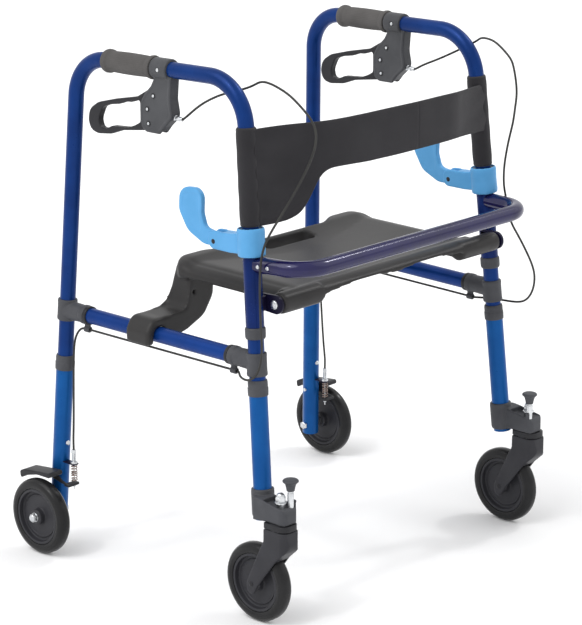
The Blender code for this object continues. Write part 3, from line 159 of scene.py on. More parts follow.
def caster_centre(side: Side) -> Array:
    """Centre of a front wheel."""
    swivel = swivel_point(side)
    return np.array([swivel[0], swivel[1] + CASTER_TRAIL, WHEEL_R])


def axle_point(side: Side) -> Array:
    """Centre of a rear wheel."""
    return rear_axis(side, WHEEL_R) + np.array([side.value * AXLE_OUT, AXLE_BACK, 0.0])


def plunger_point(side: Side, z: float) -> Array:
    """Axis of a caster's lock plunger at height z."""
    foot = front_axis(side, SWIVEL_Z)
    return np.array([foot[0] - side.value * 0.0002, foot[1] - 0.0566, z])


def cable_stop(side: Side, z: float) -> Array:
    """Upright line of a brake cable's bare end at height z."""
    foot = rear_axis(side, CABLE_STOP_Z)
    return np.array([foot[0] + side.value * 0.0013, foot[1] - 0.0331, z])


def paddle_pin(side: Side) -> Array:
    """Centre of a release paddle's pin."""
    return front_axis(side, 0.583) + np.array([side.value * 0.001, 0.070, 0.0])


def grip_ends(side: Side) -> tuple[float, float]:
    """Y of a grip's front and rear ends; the rear one is just before the rear bend."""
    corner = rear_axis(side, REAR_TOP_Z)
    come = unit(top_axis(side, corner[1]) - top_axis(side, corner[1] - 0.1))
    leave = unit(rear_axis(side, 0.0) - rear_axis(side, 0.1))
    bend_start = corner[1] - REAR_BEND_R * np.tan(np.arccos(come @ leave) / 2)
    return bend_start - 0.112, bend_start - 0.003


def under_grip(side: Side) -> Array:
    """Datum of the brake housing and lever: the top tube's axis at the grip's front end."""
    return top_axis(side, grip_ends(side)[0])


def strap_point(side: Side, front: bool) -> Array:
    """Centre of the cable clip under a tee's socket."""
    upright = front_axis(side, RAIL_Z) if front else rear_axis(side, RAIL_Z)
    toward = 1.0 if front else -1.0
    return rail_axis(side, upright[1] + toward * 0.0474) - Z_AXIS * 0.0240


def eased(corners: Array, radii: Array, steps: int = 8, closed: bool = True) -> Array:
    """Line through corners in any number of dimensions, with an arc of its radius at each.

    At a corner whose half angle is h, the arc of radius r touches both lines at r / tan(h) from the
    corner and its centre is on the bisector at r / sin(h); the arc turns through pi - 2h.

    Args:
        corners: the corner points, one row each.
        radii: each corner's radius, cut back where its lines are too short for it.
        steps: points on each arc.
        closed: whether the line returns to its first corner.

    Returns:
        The points in order, without repeats.
    """
    back, ahead = np.roll(corners, 1, 0) - corners, np.roll(corners, -1, 0) - corners
    room = 0.49 * np.minimum(np.linalg.norm(back, axis=1), np.linalg.norm(ahead, axis=1))
    back, ahead = unit(back), unit(ahead)
    half = np.arccos(np.clip((back * ahead).sum(1), -1, 1)) / 2
    radii = np.array(radii, float)
    if not closed:
        radii[[0, -1]] = 0.0
    half = np.clip(half, 1e-3, np.pi / 2 - 1e-4)
    reach = np.minimum(radii / np.tan(half), room)
    radius = reach * np.tan(half)
    centre = corners + unit(back + ahead) * (radius / np.sin(half))[:, None]
    start, end = corners + back * reach[:, None] - centre, corners + ahead * reach[:, None] - centre
    share, turn = np.linspace(0, 1, steps)[None, :, None], (np.pi - 2 * half)[:, None, None]
    arc = (np.sin((1 - share) * turn) * start[:, None] + np.sin(share * turn) * end[:, None]) / np.sin(turn)
    line = (centre[:, None] + arc).reshape(-1, corners.shape[1])
    gap = np.linalg.norm(line - np.roll(line, 1, 0), axis=1)
    keep = gap > 2e-6
    keep[0] = keep[0] or not closed
    return line[keep]


def outline(corners: Sequence[Corner], steps: int = 8, closed: bool = True) -> Array:
    """Line in a plane through (a, b) or (a, b, radius) corners."""
    rows = np.array([(*corner, 0.0)[:3] for corner in corners])
    return eased(rows[:, :2], rows[:, 2], steps, closed)


@dataclass
class Shell:
    """Closed surface as arrays: one row of points per vertex, and the vertices of each face."""

    points: Array
    faces: list[list[int]]

    @staticmethod
    def from_grid(grid: Array, ring: bool = False) -> "Shell":
        """Skin over a grid whose second parameter runs round; the ends are capped unless ring is true.

        Args:
            grid: points of shape (stations, round, 3).
            ring: whether the last station joins the first.

        Returns:
            The closed shell.
        """
        count, sides = grid.shape[:2]
        index = np.arange(count * sides).reshape(count, sides)
        beside = np.roll(index, -1, 1)
        if ring:
            quads = np.stack([index, beside, np.roll(beside, -1, 0), np.roll(index, -1, 0)], -1)
            return Shell(grid.reshape(-1, 3), quads.reshape(-1, 4).tolist())
        quads = np.stack([index[:-1], beside[:-1], beside[1:], index[1:]], -1).reshape(-1, 4)
        caps = [index[0, ::-1].tolist(), index[-1].tolist()]
        return Shell(grid.reshape(-1, 3), quads.tolist() + caps)

    @staticmethod
    def joined(shells: Sequence["Shell"]) -> "Shell":
        """One shell with the faces of several."""
        starts = np.cumsum([0] + [len(shell.points) for shell in shells])
        faces = [[i + int(start) for i in face]
                 for shell, start in zip(shells, starts) for face in shell.faces]
        return Shell(np.concatenate([shell.points for shell in shells]), faces)


def turned(centres: Array, radii: Array, direction: Array, sides: int = 64, ring: bool = False) -> Shell:
    """Solid turned on a lathe: a circle of each radius stands square to direction at each centre.

    Args:
        centres: points on the axis, one per circle.
        radii: the circles' radii.
        direction: direction of the axis.
        sides: points round each circle.
        ring: whether the last circle joins the first, as in a hollow collar.

    Returns:
        The turned shell.
    """
    direction = unit(np.asarray(direction, float))
    aim = X_AXIS if abs(direction[0]) < 0.9 else Y_AXIS
    first = unit(np.cross(direction, aim))
    second = np.cross(direction, first)
    angle = np.linspace(0, 2 * np.pi, sides, endpoint=False)
    spoke = np.cos(angle)[:, None] * first + np.sin(angle)[:, None] * second
    return Shell.from_grid(centres[:, None] + np.asarray(radii)[:, None, None] * spoke[None], ring)


def turned_from(origin: Array, direction: Array, profile: Array, sides: int = 64,
                ring: bool = False) -> Shell:
    """Turned solid whose profile rows are (radius, distance along the axis from origin)."""
    direction = unit(np.asarray(direction, float))
    return turned(origin + profile[:, 1:] * direction, profile[:, 0], direction, sides, ring)


def on_upright(line, side: Side, profile: Array, sides: int = 64, ring: bool = False) -> Shell:
    """Turned solid on a leaning upright; its profile rows are (radius, height)."""
    return turned(line(side, profile[:, 1]), profile[:, 0], line(side, 1.0) - line(side, 0.0), sides, ring)


def bar(origin: Array, direction: Array, radius: float, start: float, end: float, sides: int = 64) -> Shell:
    """Plain round bar between two distances along the axis from origin."""
    return turned_from(origin, direction, np.array([[radius, start], [radius, end]]), sides)


def blunt(radius: float, low: float, high: float, edges: tuple[float, float], steps: int = 4) -> Array:
    """Lathe profile of a disc between two distances, with its low and its high edge rounded."""
    return outline([(0.0, low), (radius, low, edges[0]), (radius, high, edges[1]), (0.0, high)], steps, False)


def circle(radius: float, sides: int = 48) -> Array:
    """Points round a circle in a section's plane."""
    angle = np.linspace(0, 2 * np.pi, sides, endpoint=False)
    return radius * np.stack([np.cos(angle), np.sin(angle)], -1)


def carried(path: Array, section: Array, aim: Array, ring: bool = False) -> Shell:
    """Profile carried along a path.

    At each path point the profile's first axis is aim x tangent and its second is tangent x first,
    where the tangent bisects the two neighbouring steps.

    Args:
        path: points (stations, 3).
        section: profile (round, 2), or (stations, round, 2) where it changes on the way.
        aim: direction that is never along the path.
        ring: whether the path is closed.

    Returns:
        The swept shell.
    """
    steps = unit(np.roll(path, -1, 0) - path)
    before = np.roll(steps, 1, 0)
    if not ring:
        steps[-1], before[0] = steps[-2], steps[0]
    tangent = unit(steps + before)
    across = unit(np.cross(aim, tangent))
    lift = np.cross(tangent, across)
    section = np.broadcast_to(section, (len(path), *section.shape[-2:]))
    grid = path[:, None] + section[..., :1] * across[:, None] + section[..., 1:] * lift[:, None]
    return Shell.from_grid(grid, ring)


def inset(line: Array, distance: Array) -> Array:
    """Copies of a closed line in a plane, moved inwards by each distance along its mitred normals."""
    x, y = line.T
    if (x * np.roll(y, -1) - y * np.roll(x, -1)).sum() < 0:
        line = line[::-1]
    ahead = unit(np.roll(line, -1, 0) - line)
    back = np.roll(ahead, 1, 0)
    normal = unit(np.stack([-(ahead + back)[:, 1], (ahead + back)[:, 0]], -1))
    lean = np.clip(np.sqrt((1 + (ahead * back).sum(1)) / 2), 0.7, 1)
    return line[None] + distance[:, None, None] * (normal / lean[:, None])[None]


class Plane(Enum):
    """Which world axes an outline's (a, b, depth) lie on, as the order that gives (x, y, z)."""

    SIDE = (2, 0, 1)
    FRONT = (0, 2, 1)
    PLAN = (0, 1, 2)


def plate(line: Array, low: float, high: float, edge: float, plane: Plane = Plane.SIDE) -> Shell:
    """Plate of a closed outline between two depths, its edges rounded over a quarter circle.

    Round the edge the outline moves inwards by edge * (1 - sin t) and the depth by edge * (1 - cos t).

    Args:
        line: outline (points, 2).
        low: depth of one face.
        high: depth of the other.
        edge: radius of the rounded edges.
        plane: the plane that the outline is drawn in.

    Returns:
        The closed plate.
    """
    low, high = min(low, high), max(low, high)
    turn = np.linspace(0, np.pi / 2, 5)
    depth = edge * (1 - np.cos(turn))
    rings = inset(line, np.concatenate([edge * (1 - np.sin(turn)), edge * (1 - np.sin(turn[::-1]))]))
    depths = np.concatenate([low + depth, high - depth[::-1]])
    grid = np.concatenate([rings, np.broadcast_to(depths[:, None, None], (*rings.shape[:2], 1))], -1)
    return Shell.from_grid(grid[..., plane.value])


def wall(path: Array, low: Array | float, top: Array, thickness: float) -> Shell:
    """Upright wall over a path in plan, from a low edge to a top that change along the path."""
    ahead = np.gradient(path, axis=0)
    out = unit(np.stack([-ahead[:, 1], ahead[:, 0]], -1)) * thickness / 2
    bottom = np.broadcast_to(low, len(path))
    rows = [np.column_stack([path + k * out, z]) for k, z in ((1, bottom), (-1, bottom), (-1, top), (1, top))]
    return Shell.from_grid(np.stack(rows, 1))


def box(low: Sequence[float], high: Sequence[float], edge: float = 0.0) -> Shell:
    """Block between two corners, used inside moulded pieces and as a cutter."""
    (x0, y0, z0), (x1, y1, z1) = low, high
    x0, x1 = min(x0, x1), max(x0, x1)
    line = outline([(y0, z0, edge), (y1, z0, edge), (y1, z1, edge), (y0, z1, edge)], 4)
    return plate(line, x0, x1, min(edge, 0.4 * (x1 - x0)) if edge else 1e-5)


def corner_cutter(corner: Corner, inward: Corner, radius: float, depth: tuple[float, float]) -> Shell:
    """Cutter that rounds an upright corner: a square in plan less the quarter circle that stays.

    Args:
        corner: (x, y) of the sharp corner.
        inward: signs of the directions into the piece.
        radius: radius left on the corner.
        depth: lowest and highest z.

    Returns:
        The closed cutter.
    """
    at, into = np.array(corner), np.array(inward)
    turn = np.linspace(0, np.pi / 2, 12)[:, None]
    arc = at + into * radius * (1 - np.concatenate([np.sin(turn), np.cos(turn)], 1))
    outside = at - into * 0.01
    line = np.concatenate([arc, [[outside[0], arc[-1, 1]], outside, [arc[0, 0], outside[1]]]])
    return plate(line, *depth, 1e-5, Plane.PLAN)


def mesh_of(shell: Shell, name: str) -> bpy.types.Mesh:
    """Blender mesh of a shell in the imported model's frame, doubles merged and faces turned outwards."""
    mesh = bpy.data.meshes.new(name)
    mesh.from_pydata((shell.points + CAD_SHIFT).tolist(), [], shell.faces)
    bm = bmesh.new()
    bm.from_mesh(mesh)
    bmesh.ops.remove_doubles(bm, verts=bm.verts, dist=1e-6)
    bmesh.ops.recalc_face_normals(bm, faces=bm.faces)
    bm.to_mesh(mesh)
    bm.free()
    return mesh


def moulded(name: str, adds: Sequence[Shell], cuts: Sequence[Shell], voxel: float,
            smooth: int) -> bpy.types.Mesh:
    """One moulded skin over overlapping shells, with others cut away and every edge softly rounded.

    The shells become a distance field on a grid of voxels, its zero surface is the new skin, and each
    smoothing pass moves every vertex half way to the mean of its neighbours.

    Args:
        name: name of the mesh.
        adds: closed shells that overlap.
        cuts: closed shells that are taken away.
        voxel: grid spacing.
        smooth: smoothing passes.

    Returns:
        The finished mesh.
    """
    work = bpy.data.objects.new(name, mesh_of(Shell.joined(adds), name))
    bpy.context.scene.collection.objects.link(work)
    spare = [work]
    if cuts:
        first = work.modifiers.new("union", "REMESH")
        first.mode, first.voxel_size = "VOXEL", voxel
    for number, cut in enumerate(cuts):
        cutter = bpy.data.objects.new(f"{name}_cut", mesh_of(cut, f"{name}_cut"))
        bpy.context.scene.collection.objects.link(cutter)
        spare.append(cutter)
        taken = work.modifiers.new(f"cut_{number}", "BOOLEAN")
        taken.operation, taken.solver, taken.object = "DIFFERENCE", "MANIFOLD", cutter
    skin = work.modifiers.new("skin", "REMESH")
    skin.mode, skin.voxel_size = "VOXEL", voxel
    soft = work.modifiers.new("soften", "SMOOTH")
    soft.factor, soft.iterations = 0.5, smooth
    bpy.context.view_layer.update()
    mesh = bpy.data.meshes.new_from_object(work.evaluated_get(bpy.context.evaluated_depsgraph_get()))
    for item in spare:
        bpy.data.objects.remove(item)
    mesh.name = name
    return mesh


def linear(colour: str, alpha: float = 1.0) -> tuple[float, float, float, float]:
    """Linear colour of an sRGB hex value."""
    value = np.array([int(colour[i:i + 2], 16) for i in (1, 3, 5)]) / 255
    red, green, blue = np.where(value <= 0.04045, value / 12.92, ((value + 0.055) / 1.055) ** 2.4)
    return float(red), float(green), float(blue), alpha


def put(tree: bpy.types.NodeTree, kind: str, settings: dict | None = None, links: dict | None = None):
    """Add one node, with its settings and its links.

    Args:
        tree: the node tree.
        kind: node type, without its ShaderNode prefix.
        settings: values by input name or number, or by attribute name.
        links: output sockets by input name or number.

    Returns:
        The new node.
    """
    node = tree.nodes.new(f"ShaderNode{kind}")
    for key, value in (settings or {}).items():
        if isinstance(key, str) and hasattr(node, key):
            setattr(node, key, value)
        else:
            node.inputs[key].default_value = value
    for key, socket in (links or {}).items():
        tree.links.new(socket, node.inputs[key])
    return node


@dataclass(frozen=True)
class Finish:
    """A material named for the real one; each subclass adds what its making gives the eye."""

    name: str
    slot: str
    colour: str
    shade: str
    worn: str
    roughness: float = 0.45
    metallic: float = 0.0
    ior: float = 1.5
    patch_mm: float = 45.0
    grain_mm: float = 0.9
    grain_depth: float = 0.12
    wear: float = 0.5
    specular: float = 0.18

    def height(self, tree: bpy.types.NodeTree, place) -> bpy.types.NodeSocket:
        """Relief of the surface, 0 to 1: an even, spark-eroded grain."""
        grain = put(tree, "TexNoise",
                    {"Scale": 1 / (self.grain_mm * MILLIMETRE), "Detail": 3.0, "Roughness": 0.6},
                    {"Vector": place})
        return grain.outputs[0]

    def tint(self, tree: bpy.types.NodeTree, place) -> bpy.types.NodeSocket:
        """Colour that drifts between the two tones in patches of patch_mm."""
        drift = put(tree, "TexNoise", {"Scale": 1 / (self.patch_mm * MILLIMETRE), "Detail": 4.0},
                    {"Vector": place})
        spread = put(tree, "MapRange", {1: 0.35, 2: 0.65}, {0: drift.outputs[0]})
        mixed = put(tree, "Mix", {"data_type": "RGBA", 6: linear(self.colour), 7: linear(self.shade)},
                    {0: spread.outputs[0]})
        return mixed.outputs[2]

    def material(self) -> bpy.types.Material:
        """Principled material: drifting tint, worn edges, grain in the bump and in the roughness."""
        found = bpy.data.materials.get(self.name)
        if found:
            return found
        made = bpy.data.materials.new(self.name)
        made.use_nodes = True
        tree = made.node_tree
        shader = tree.nodes["Principled BSDF"]
        place = self.place(tree)
        height, tint = self.height(tree, place), self.tint(tree, place)
        if self.wear:
            tint = self.rubbed(tree, place, tint)
        rough = put(tree, "MapRange", {1: 0.25, 2: 0.75, 3: self.roughness - 0.06, 4: self.roughness + 0.06},
                    {0: height})
        bump = put(tree, "Bump",
                   {"Strength": self.grain_depth, "Distance": 0.25 * self.grain_mm * MILLIMETRE},
                   {"Height": height})
        shader.inputs["Metallic"].default_value = self.metallic
        if not self.metallic:
            shader.inputs["IOR"].default_value = self.ior
        shader.inputs["Specular IOR Level"].default_value = self.specular
        tree.links.new(tint, shader.inputs["Base Color"])
        tree.links.new(rough.outputs[0], shader.inputs["Roughness"])
        tree.links.new(bump.outputs[0], shader.inputs["Normal"])
        self.extra(shader)
        return made

    def rubbed(self, tree: bpy.types.NodeTree, place, tint) -> bpy.types.NodeSocket:
        """Tint that turns to the worn colour in patches along sharp outer edges."""
        edge = put(tree, "MapRange", {1: 0.53, 2: 0.60, 4: self.wear},
                   {0: put(tree, "NewGeometry").outputs["Pointiness"]})
        rubs = put(tree, "TexNoise", {"Scale": 1 / (9 * MILLIMETRE), "Detail": 5.0}, {"Vector": place})
        patchy = put(tree, "Math", {"operation": "MULTIPLY"}, {0: edge.outputs[0], 1: rubs.outputs[0]})
        mixed = put(tree, "Mix", {"data_type": "RGBA", 7: linear(self.worn)}, {0: patchy.outputs[0], 6: tint})
        return mixed.outputs[2]

    def place(self, tree: bpy.types.NodeTree) -> bpy.types.NodeSocket:
        """Coordinates that the patterns read: the object's own, in metres."""
        return put(tree, "TexCoord").outputs["Object"]

    def extra(self, shader: bpy.types.Node) -> None:
        """Further shader values; most finishes need none."""


@dataclass(frozen=True)
class EnamelledTube(Finish):
    """Drawn aluminium tube with a glossy transparent-blue stove enamel over it.

    The enamel levels to an orange peel a few millimetres wide, so highlights waver slightly, and the
    metal shows through as a brighter blue where the light strikes square.
    """

    grain_mm: float = 3.5
    grain_depth: float = 0.012
    wear: float = 0.0
    specular: float = 0.15


@dataclass(frozen=True)
class MouldedPlastic(Finish):
    """Injection-moulded plastic from a spark-eroded tool: matt even grain, edges polished by hands."""


@dataclass(frozen=True)
class FoamGrip(Finish):
    """Closed-cell foam sleeve: fine cells cut open by grinding, so it is matt and a little mottled."""

    def height(self, tree: bpy.types.NodeTree, place) -> bpy.types.NodeSocket:
        """Round cells; real ones are 0.3 mm, drawn at grain_mm so that they show."""
        cells = put(tree, "TexVoronoi", {"Scale": 1 / (self.grain_mm * MILLIMETRE)}, {"Vector": place})
        return cells.outputs["Distance"]


@dataclass(frozen=True)
class WovenBand(Finish):
    """Plain-woven polyester laminated on thin foam, sewn over at the edges.

    The threads are about 0.5 mm apart in the real cloth and are drawn 1.4 mm apart, or the render would
    not show them.
    """

    thread_mm: float = 1.4

    def place(self, tree: bpy.types.NodeTree) -> bpy.types.NodeSocket:
        """Distances along and across the cloth, kept on its vertices."""
        return put(tree, "Attribute", {"attribute_name": "cloth"}).outputs["Vector"]

    def height(self, tree: bpy.types.NodeTree, place) -> bpy.types.NodeSocket:
        pitch = self.thread_mm * MILLIMETRE
        waves = [put(tree, "TexWave", {"bands_direction": axis, "Scale": 0.314 / pitch}, {"Vector": place})
                 for axis in ("X", "Y")]
        check = put(tree, "TexChecker", {"Scale": 1 / pitch}, {"Vector": place})
        over = put(tree, "Mix", {},
                   {0: check.outputs["Fac"], 2: waves[0].outputs["Fac"], 3: waves[1].outputs["Fac"]})
        return over.outputs[0]

    def extra(self, shader: bpy.types.Node) -> None:
        """Fibre ends catch light at grazing angles."""
        shader.inputs["Sheen Weight"].default_value = 0.10
        shader.inputs["Sheen Roughness"].default_value = 0.5


@dataclass(frozen=True)
class PlatedSteel(Finish):
    """Zinc-plated turned steel: bright, faintly clouded plate with fine turning marks."""


class Finishes(Enum):
    """The finishes of this rollator; the colours are those that the photograph shows in plain light."""

    UPPER_TUBE = EnamelledTube("blue_enamel_tube", "blue_tube", "#0C3474", "#0A2D68", "#7FA6D8",
                               roughness=0.32, metallic=0.30)
    RAIL = EnamelledTube("blue_enamel_rail", "blue_leg", "#0C3880", "#0A3274", "#7FA6D8", roughness=0.32,
                         metallic=0.30)
    LOWER_LEG = EnamelledTube("blue_enamel_leg", "blue_leg", "#0D5294", "#0A4A8A", "#9CC4E8",
                              roughness=0.32, metallic=0.30)
    SLEEVE = EnamelledTube("blue_enamel_sleeve", "blue_tube", "#0E2660", "#0C2154", "#6C8CC4",
                           roughness=0.24, metallic=0.20, specular=0.12)
    BOW = EnamelledTube("violet_enamel_bow", "violet_tube", "#17134A", "#130F3E", "#8079B0",
                        roughness=0.15, metallic=0.15, specular=0.5)
    BRACKET = EnamelledTube("violet_enamel_bracket", "violet_tube", "#14122C", "#100E24", "#6F6C96",
                            roughness=0.36, metallic=0.20)
    CHARCOAL = MouldedPlastic("moulded_nylon_charcoal", "charcoal_plastic", "#4A4B4F", "#404145", "#7C7D80",
                              roughness=0.50)
    SEAT = MouldedPlastic("moulded_polypropylene_seat", "charcoal_plastic", "#323131", "#2C2B2B", "#6E6E6C",
                          roughness=0.38, patch_mm=80.0, grain_mm=1.2)
    BLACK = MouldedPlastic("moulded_abs_black", "black_plastic", "#2C2C2F", "#252528", "#5B5B5E",
                           roughness=0.40)
    HOUSING = MouldedPlastic("moulded_abs_housing", "black_plastic", "#4B4C4F", "#424346", "#77787A",
                             roughness=0.42)
    LIGHT_BLUE = MouldedPlastic("moulded_abs_light_blue", "light_blue_plastic", "#5CA0D4", "#5499CC",
                                "#BFE0F6", roughness=0.38)
    HUB = MouldedPlastic("moulded_nylon_hub", "wheel_plastic", "#343438", "#2E2E32", "#68686C",
                         roughness=0.42)
    TYRE = MouldedPlastic("polyurethane_tyre", "tyre_rubber", "#252526", "#1F1F20", "#444444", roughness=0.24,
                          grain_mm=1.6, grain_depth=0.12)
    GRIP = FoamGrip("foam_grip", "grip_foam", "#5E5C5B", "#545251", "#787674", roughness=0.82, grain_mm=1.1,
                    grain_depth=0.5)
    CLOTH = WovenBand("woven_polyester", "black_fabric", "#2E2D30", "#29282B", "#6A696B", roughness=0.85,
                      patch_mm=60.0, grain_mm=1.4, grain_depth=0.45, wear=0.2)
    CABLE = MouldedPlastic("extruded_pvc_jacket", "black_plastic", "#3A3A38", "#313130", "#6B6A66",
                           roughness=0.38)
    STEEL = PlatedSteel("zinc_plated_steel", "steel", "#D4D6D8", "#BFC2C5", "#F0F0F0", roughness=0.28,
                        metallic=1.0, patch_mm=6.0, grain_mm=0.6, grain_depth=0.08)
    SPRING = PlatedSteel("drawn_spring_wire", "spring_steel", "#86756E", "#6A5B55", "#C9B2A4", roughness=0.34,
                         metallic=0.9, patch_mm=4.0, grain_mm=0.5, grain_depth=0.08)


def put_out(mesh: bpy.types.Mesh, finish: Finishes, body: str, replaces: Sequence[str] = (),
            sharp: float = 38.0) -> bpy.types.Object:
    """Make a mesh a finished piece that rides on a body.

    Args:
        mesh: the piece's mesh, whose name it takes.
        finish: its finish.
        body: the CAD body that it moves with, or nothing, where it stays unattached.
        replaces: the CAD nodes that it stands for.
        sharp: edges that turn by more degrees than this stay sharp.

    Returns:
        The piece.
    """
    mesh.shade_smooth()
    mesh.set_sharp_from_angle(angle=np.radians(sharp))
    piece = bpy.data.objects.new(mesh.name, mesh)
    mesh.materials.clear()
    mesh.materials.append(finish.value.material())
    bpy.context.scene.collection.objects.link(piece)
    if body:
        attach(piece, body)
    if replaces:
        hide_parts(*replaces)
    LOG.info("%s: %d faces, %s", piece.name, len(mesh.polygons), finish.value.name)
    return piece


def fitted(shells: Shell | Sequence[Shell], name: str, finish: Finishes, body: str,
           replaces: Sequence[str] = ()) -> bpy.types.Object:
    """Finished piece straight from one shell or several."""
    shell = shells if isinstance(shells, Shell) else Shell.joined(shells)
    return put_out(mesh_of(shell, name), finish, body, replaces)


def bolt_head(centre: Array, out: Array, radius: float, height: float, sides: int = 32) -> Shell:
    """Domed head whose flat side faces against out; its profile is a cylinder under a flat dome."""
    turn = np.linspace(0, np.pi / 2, 6)
    dome = np.stack([radius * np.cos(turn), 0.35 * height + 0.65 * height * np.sin(turn)], -1)
    return turned_from(centre, out, np.concatenate([[[radius, -0.0005]], dome]), sides)


def hex_nut(centre: Array, out: Array, radius: float, height: float) -> Shell:
    """Six-sided nut with chamfered corners."""
    profile = np.array([[radius * 0.93, 0.0], [radius, 0.08 * height], [radius, 0.90 * height],
                        [radius * 0.9, height]])
    return turned_from(centre, out, profile, 6)


def acorn_nut(centre: Array, out: Array, radius: float, height: float) -> list[Shell]:
    """Six-sided nut under a round cap."""
    cap = bolt_head(centre + unit(out) * height * 0.5, out, radius * 0.82, height * 0.6)
    return [hex_nut(centre, out, radius, height * 0.62), cap]


@dataclass
class SideTubes:
    """Side frame's bent tube and its rail."""

    side: Side
    bend_radii: tuple[float, float] = (0.075, REAR_BEND_R)
    rail_clear: float = 0.0100

    def build(self) -> None:
        """Carry a circle round the inverted U, and another along the rail."""
        s = self.side
        corners = np.stack([front_axis(s, 0.178), front_axis(s, FRONT_TOP_Z), rear_axis(s, REAR_TOP_Z),
                            rear_axis(s, 0.150)])
        path = eased(corners, np.array([0.0, *self.bend_radii, 0.0]), 28, closed=False)
        body = s.node("frame")
        fitted(carried(path, circle(TUBE_R, 64), X_AXIS), s.node("frame_tube_form"), Finishes.UPPER_TUBE,
               body, [s.node("frame_tube")])
        start, end = front_axis(s, RAIL_Z)[1] + self.rail_clear, rear_axis(s, RAIL_Z)[1] - self.rail_clear
        rail = rail_axis(s, np.linspace(start, end, 12))
        fitted(carried(rail, circle(TUBE_R, 64), X_AXIS), s.node("side_rail_form"), Finishes.RAIL, body,
               [s.node("side_rail")])


@dataclass
class Tee:
    """Moulded socket that carries one end of the rail, with a clip for the brake cable."""

    side: Side
    front: bool
    sleeve_r: float = 0.0158
    socket_r: float = 0.0150
    clip_r: float = 0.0052
    voxel: float = 0.0009

    def build(self) -> None:
        """Join sleeve, socket, its lip and the clip in one moulded skin."""
        s = self.side
        line = front_axis if self.front else rear_axis
        toward = 1.0 if self.front else -1.0
        low, high = (0.387, 0.423) if self.front else (0.3925, 0.4276)
        r = self.sleeve_r
        sleeve = on_upright(line, s, outline([(0.0, low), (r, low, 0.0015), (r + 0.0004, low + 0.004, 0.001),
                                              (r, low + 0.0075, 0.002), (r, high - 0.0075, 0.002),
                                              (r + 0.0004, high - 0.004, 0.001), (r, high, 0.0015),
                                              (0.0, high)],
                                             5, closed=False))
        upright = float(line(s, RAIL_Z)[1])
        mouth = upright + toward * 0.0502
        start, end = rail_axis(s, upright), rail_axis(s, mouth)
        reach = float(np.linalg.norm(end - start))
        k = self.socket_r
        socket = turned_from(start, end - start,
                             outline([(0.0, 0.0), (k + 0.0006, 0.0), (k, 0.022, 0.01),
                                      (k - 0.0006, reach - 0.011, 0.004), (k + 0.0007, reach - 0.009, 0.002),
                                      (k + 0.0007, reach, 0.0015), (0.0, reach)], 5, closed=False))
        clip_at = strap_point(s, self.front)
        clip = turned_from(clip_at, end - start,
                           outline([(CABLE_R + 0.0004, -0.006), (self.clip_r, -0.006, 0.001),
                                    (self.clip_r, 0.006, 0.001), (CABLE_R + 0.0004, 0.006)], 4),
                           32, ring=True)
        web = box((clip_at[0] - 0.0022, clip_at[1] - 0.0055, clip_at[2] + 0.0040),
                  (clip_at[0] + 0.0022, clip_at[1] + 0.0055, clip_at[2] + 0.012), 0.0005)
        name = "front_tee" if self.front else "rear_tee"
        tie = turned_from(rail_axis(s, mouth), end - start, outline([
            (TUBE_R - 0.0004, 0.0002), (0.0152, 0.0002, 0.0006), (0.0152, 0.0058, 0.0006),
            (TUBE_R - 0.0004, 0.0058)],
                                                                    4), 56, True)
        fitted(tie, s.node(f"{name}_band"), Finishes.BLACK, s.node("frame"))
        mesh = moulded(s.node(f"{name}_form"), [sleeve, socket, clip, web], [], self.voxel, 5)
        put_out(mesh, Finishes.CHARCOAL, s.node("frame"), [s.node(name)])


@dataclass
class Grip:
    """Hand grip with a flange at each end."""

    side: Side
    inner_r: float = TUBE_R + 0.0003
    ridges: int = 36
    ridge_depth: float = 0.00016
    clear: float = 0.0035

    def build(self) -> None:
        """Turn the barrel on the top tube: its radius swells in the middle, with fine ridges lengthwise."""
        s = self.side
        front, rear = grip_ends(s)
        rear = rear - self.clear
        length = rear - front
        along = np.linspace(0.011, length - 0.013, 90)
        share = (along - along[0]) / (along[-1] - along[0])
        swell = 0.0163 + 0.0009 * np.sin(np.pi * share)
        ends = outline([(self.inner_r, 0.0), (0.0178, 0.0, 0.0014), (0.0188, 0.0035, 0.0016),
                        (0.0181, 0.0075, 0.002), (0.0164, 0.0100, 0.002)], 6, closed=False)
        far = outline([(0.0166, length - 0.0120, 0.002), (0.0185, length - 0.0090, 0.002),
                       (0.0188, length - 0.0035, 0.0016), (0.0176, length, 0.0014), (self.inner_r, length)],
                      6, closed=False)
        profile = np.concatenate([ends, np.stack([swell, along], -1), far])
        start = top_axis(s, front)
        stations = start + profile[:, 1:] / length * (top_axis(s, rear) - start)
        shell = turned(stations, profile[:, 0], stations[-1] - stations[0], 6 * self.ridges, ring=True)
        axis = np.repeat(stations, 6 * self.ridges, 0)
        spoke = unit(shell.points - axis)
        wave = np.cos(np.tile(np.arange(6 * self.ridges), len(stations)) * np.pi / 3)
        barrel = np.repeat((profile[:, 0] > 0.0160) & (profile[:, 0] < 0.0174), 6 * self.ridges)
        shell.points = shell.points + (self.ridge_depth * wave * barrel)[:, None] * spoke
        fitted(shell, s.node("grip_form"), Finishes.GRIP, s.node("frame"), [s.node("grip")])


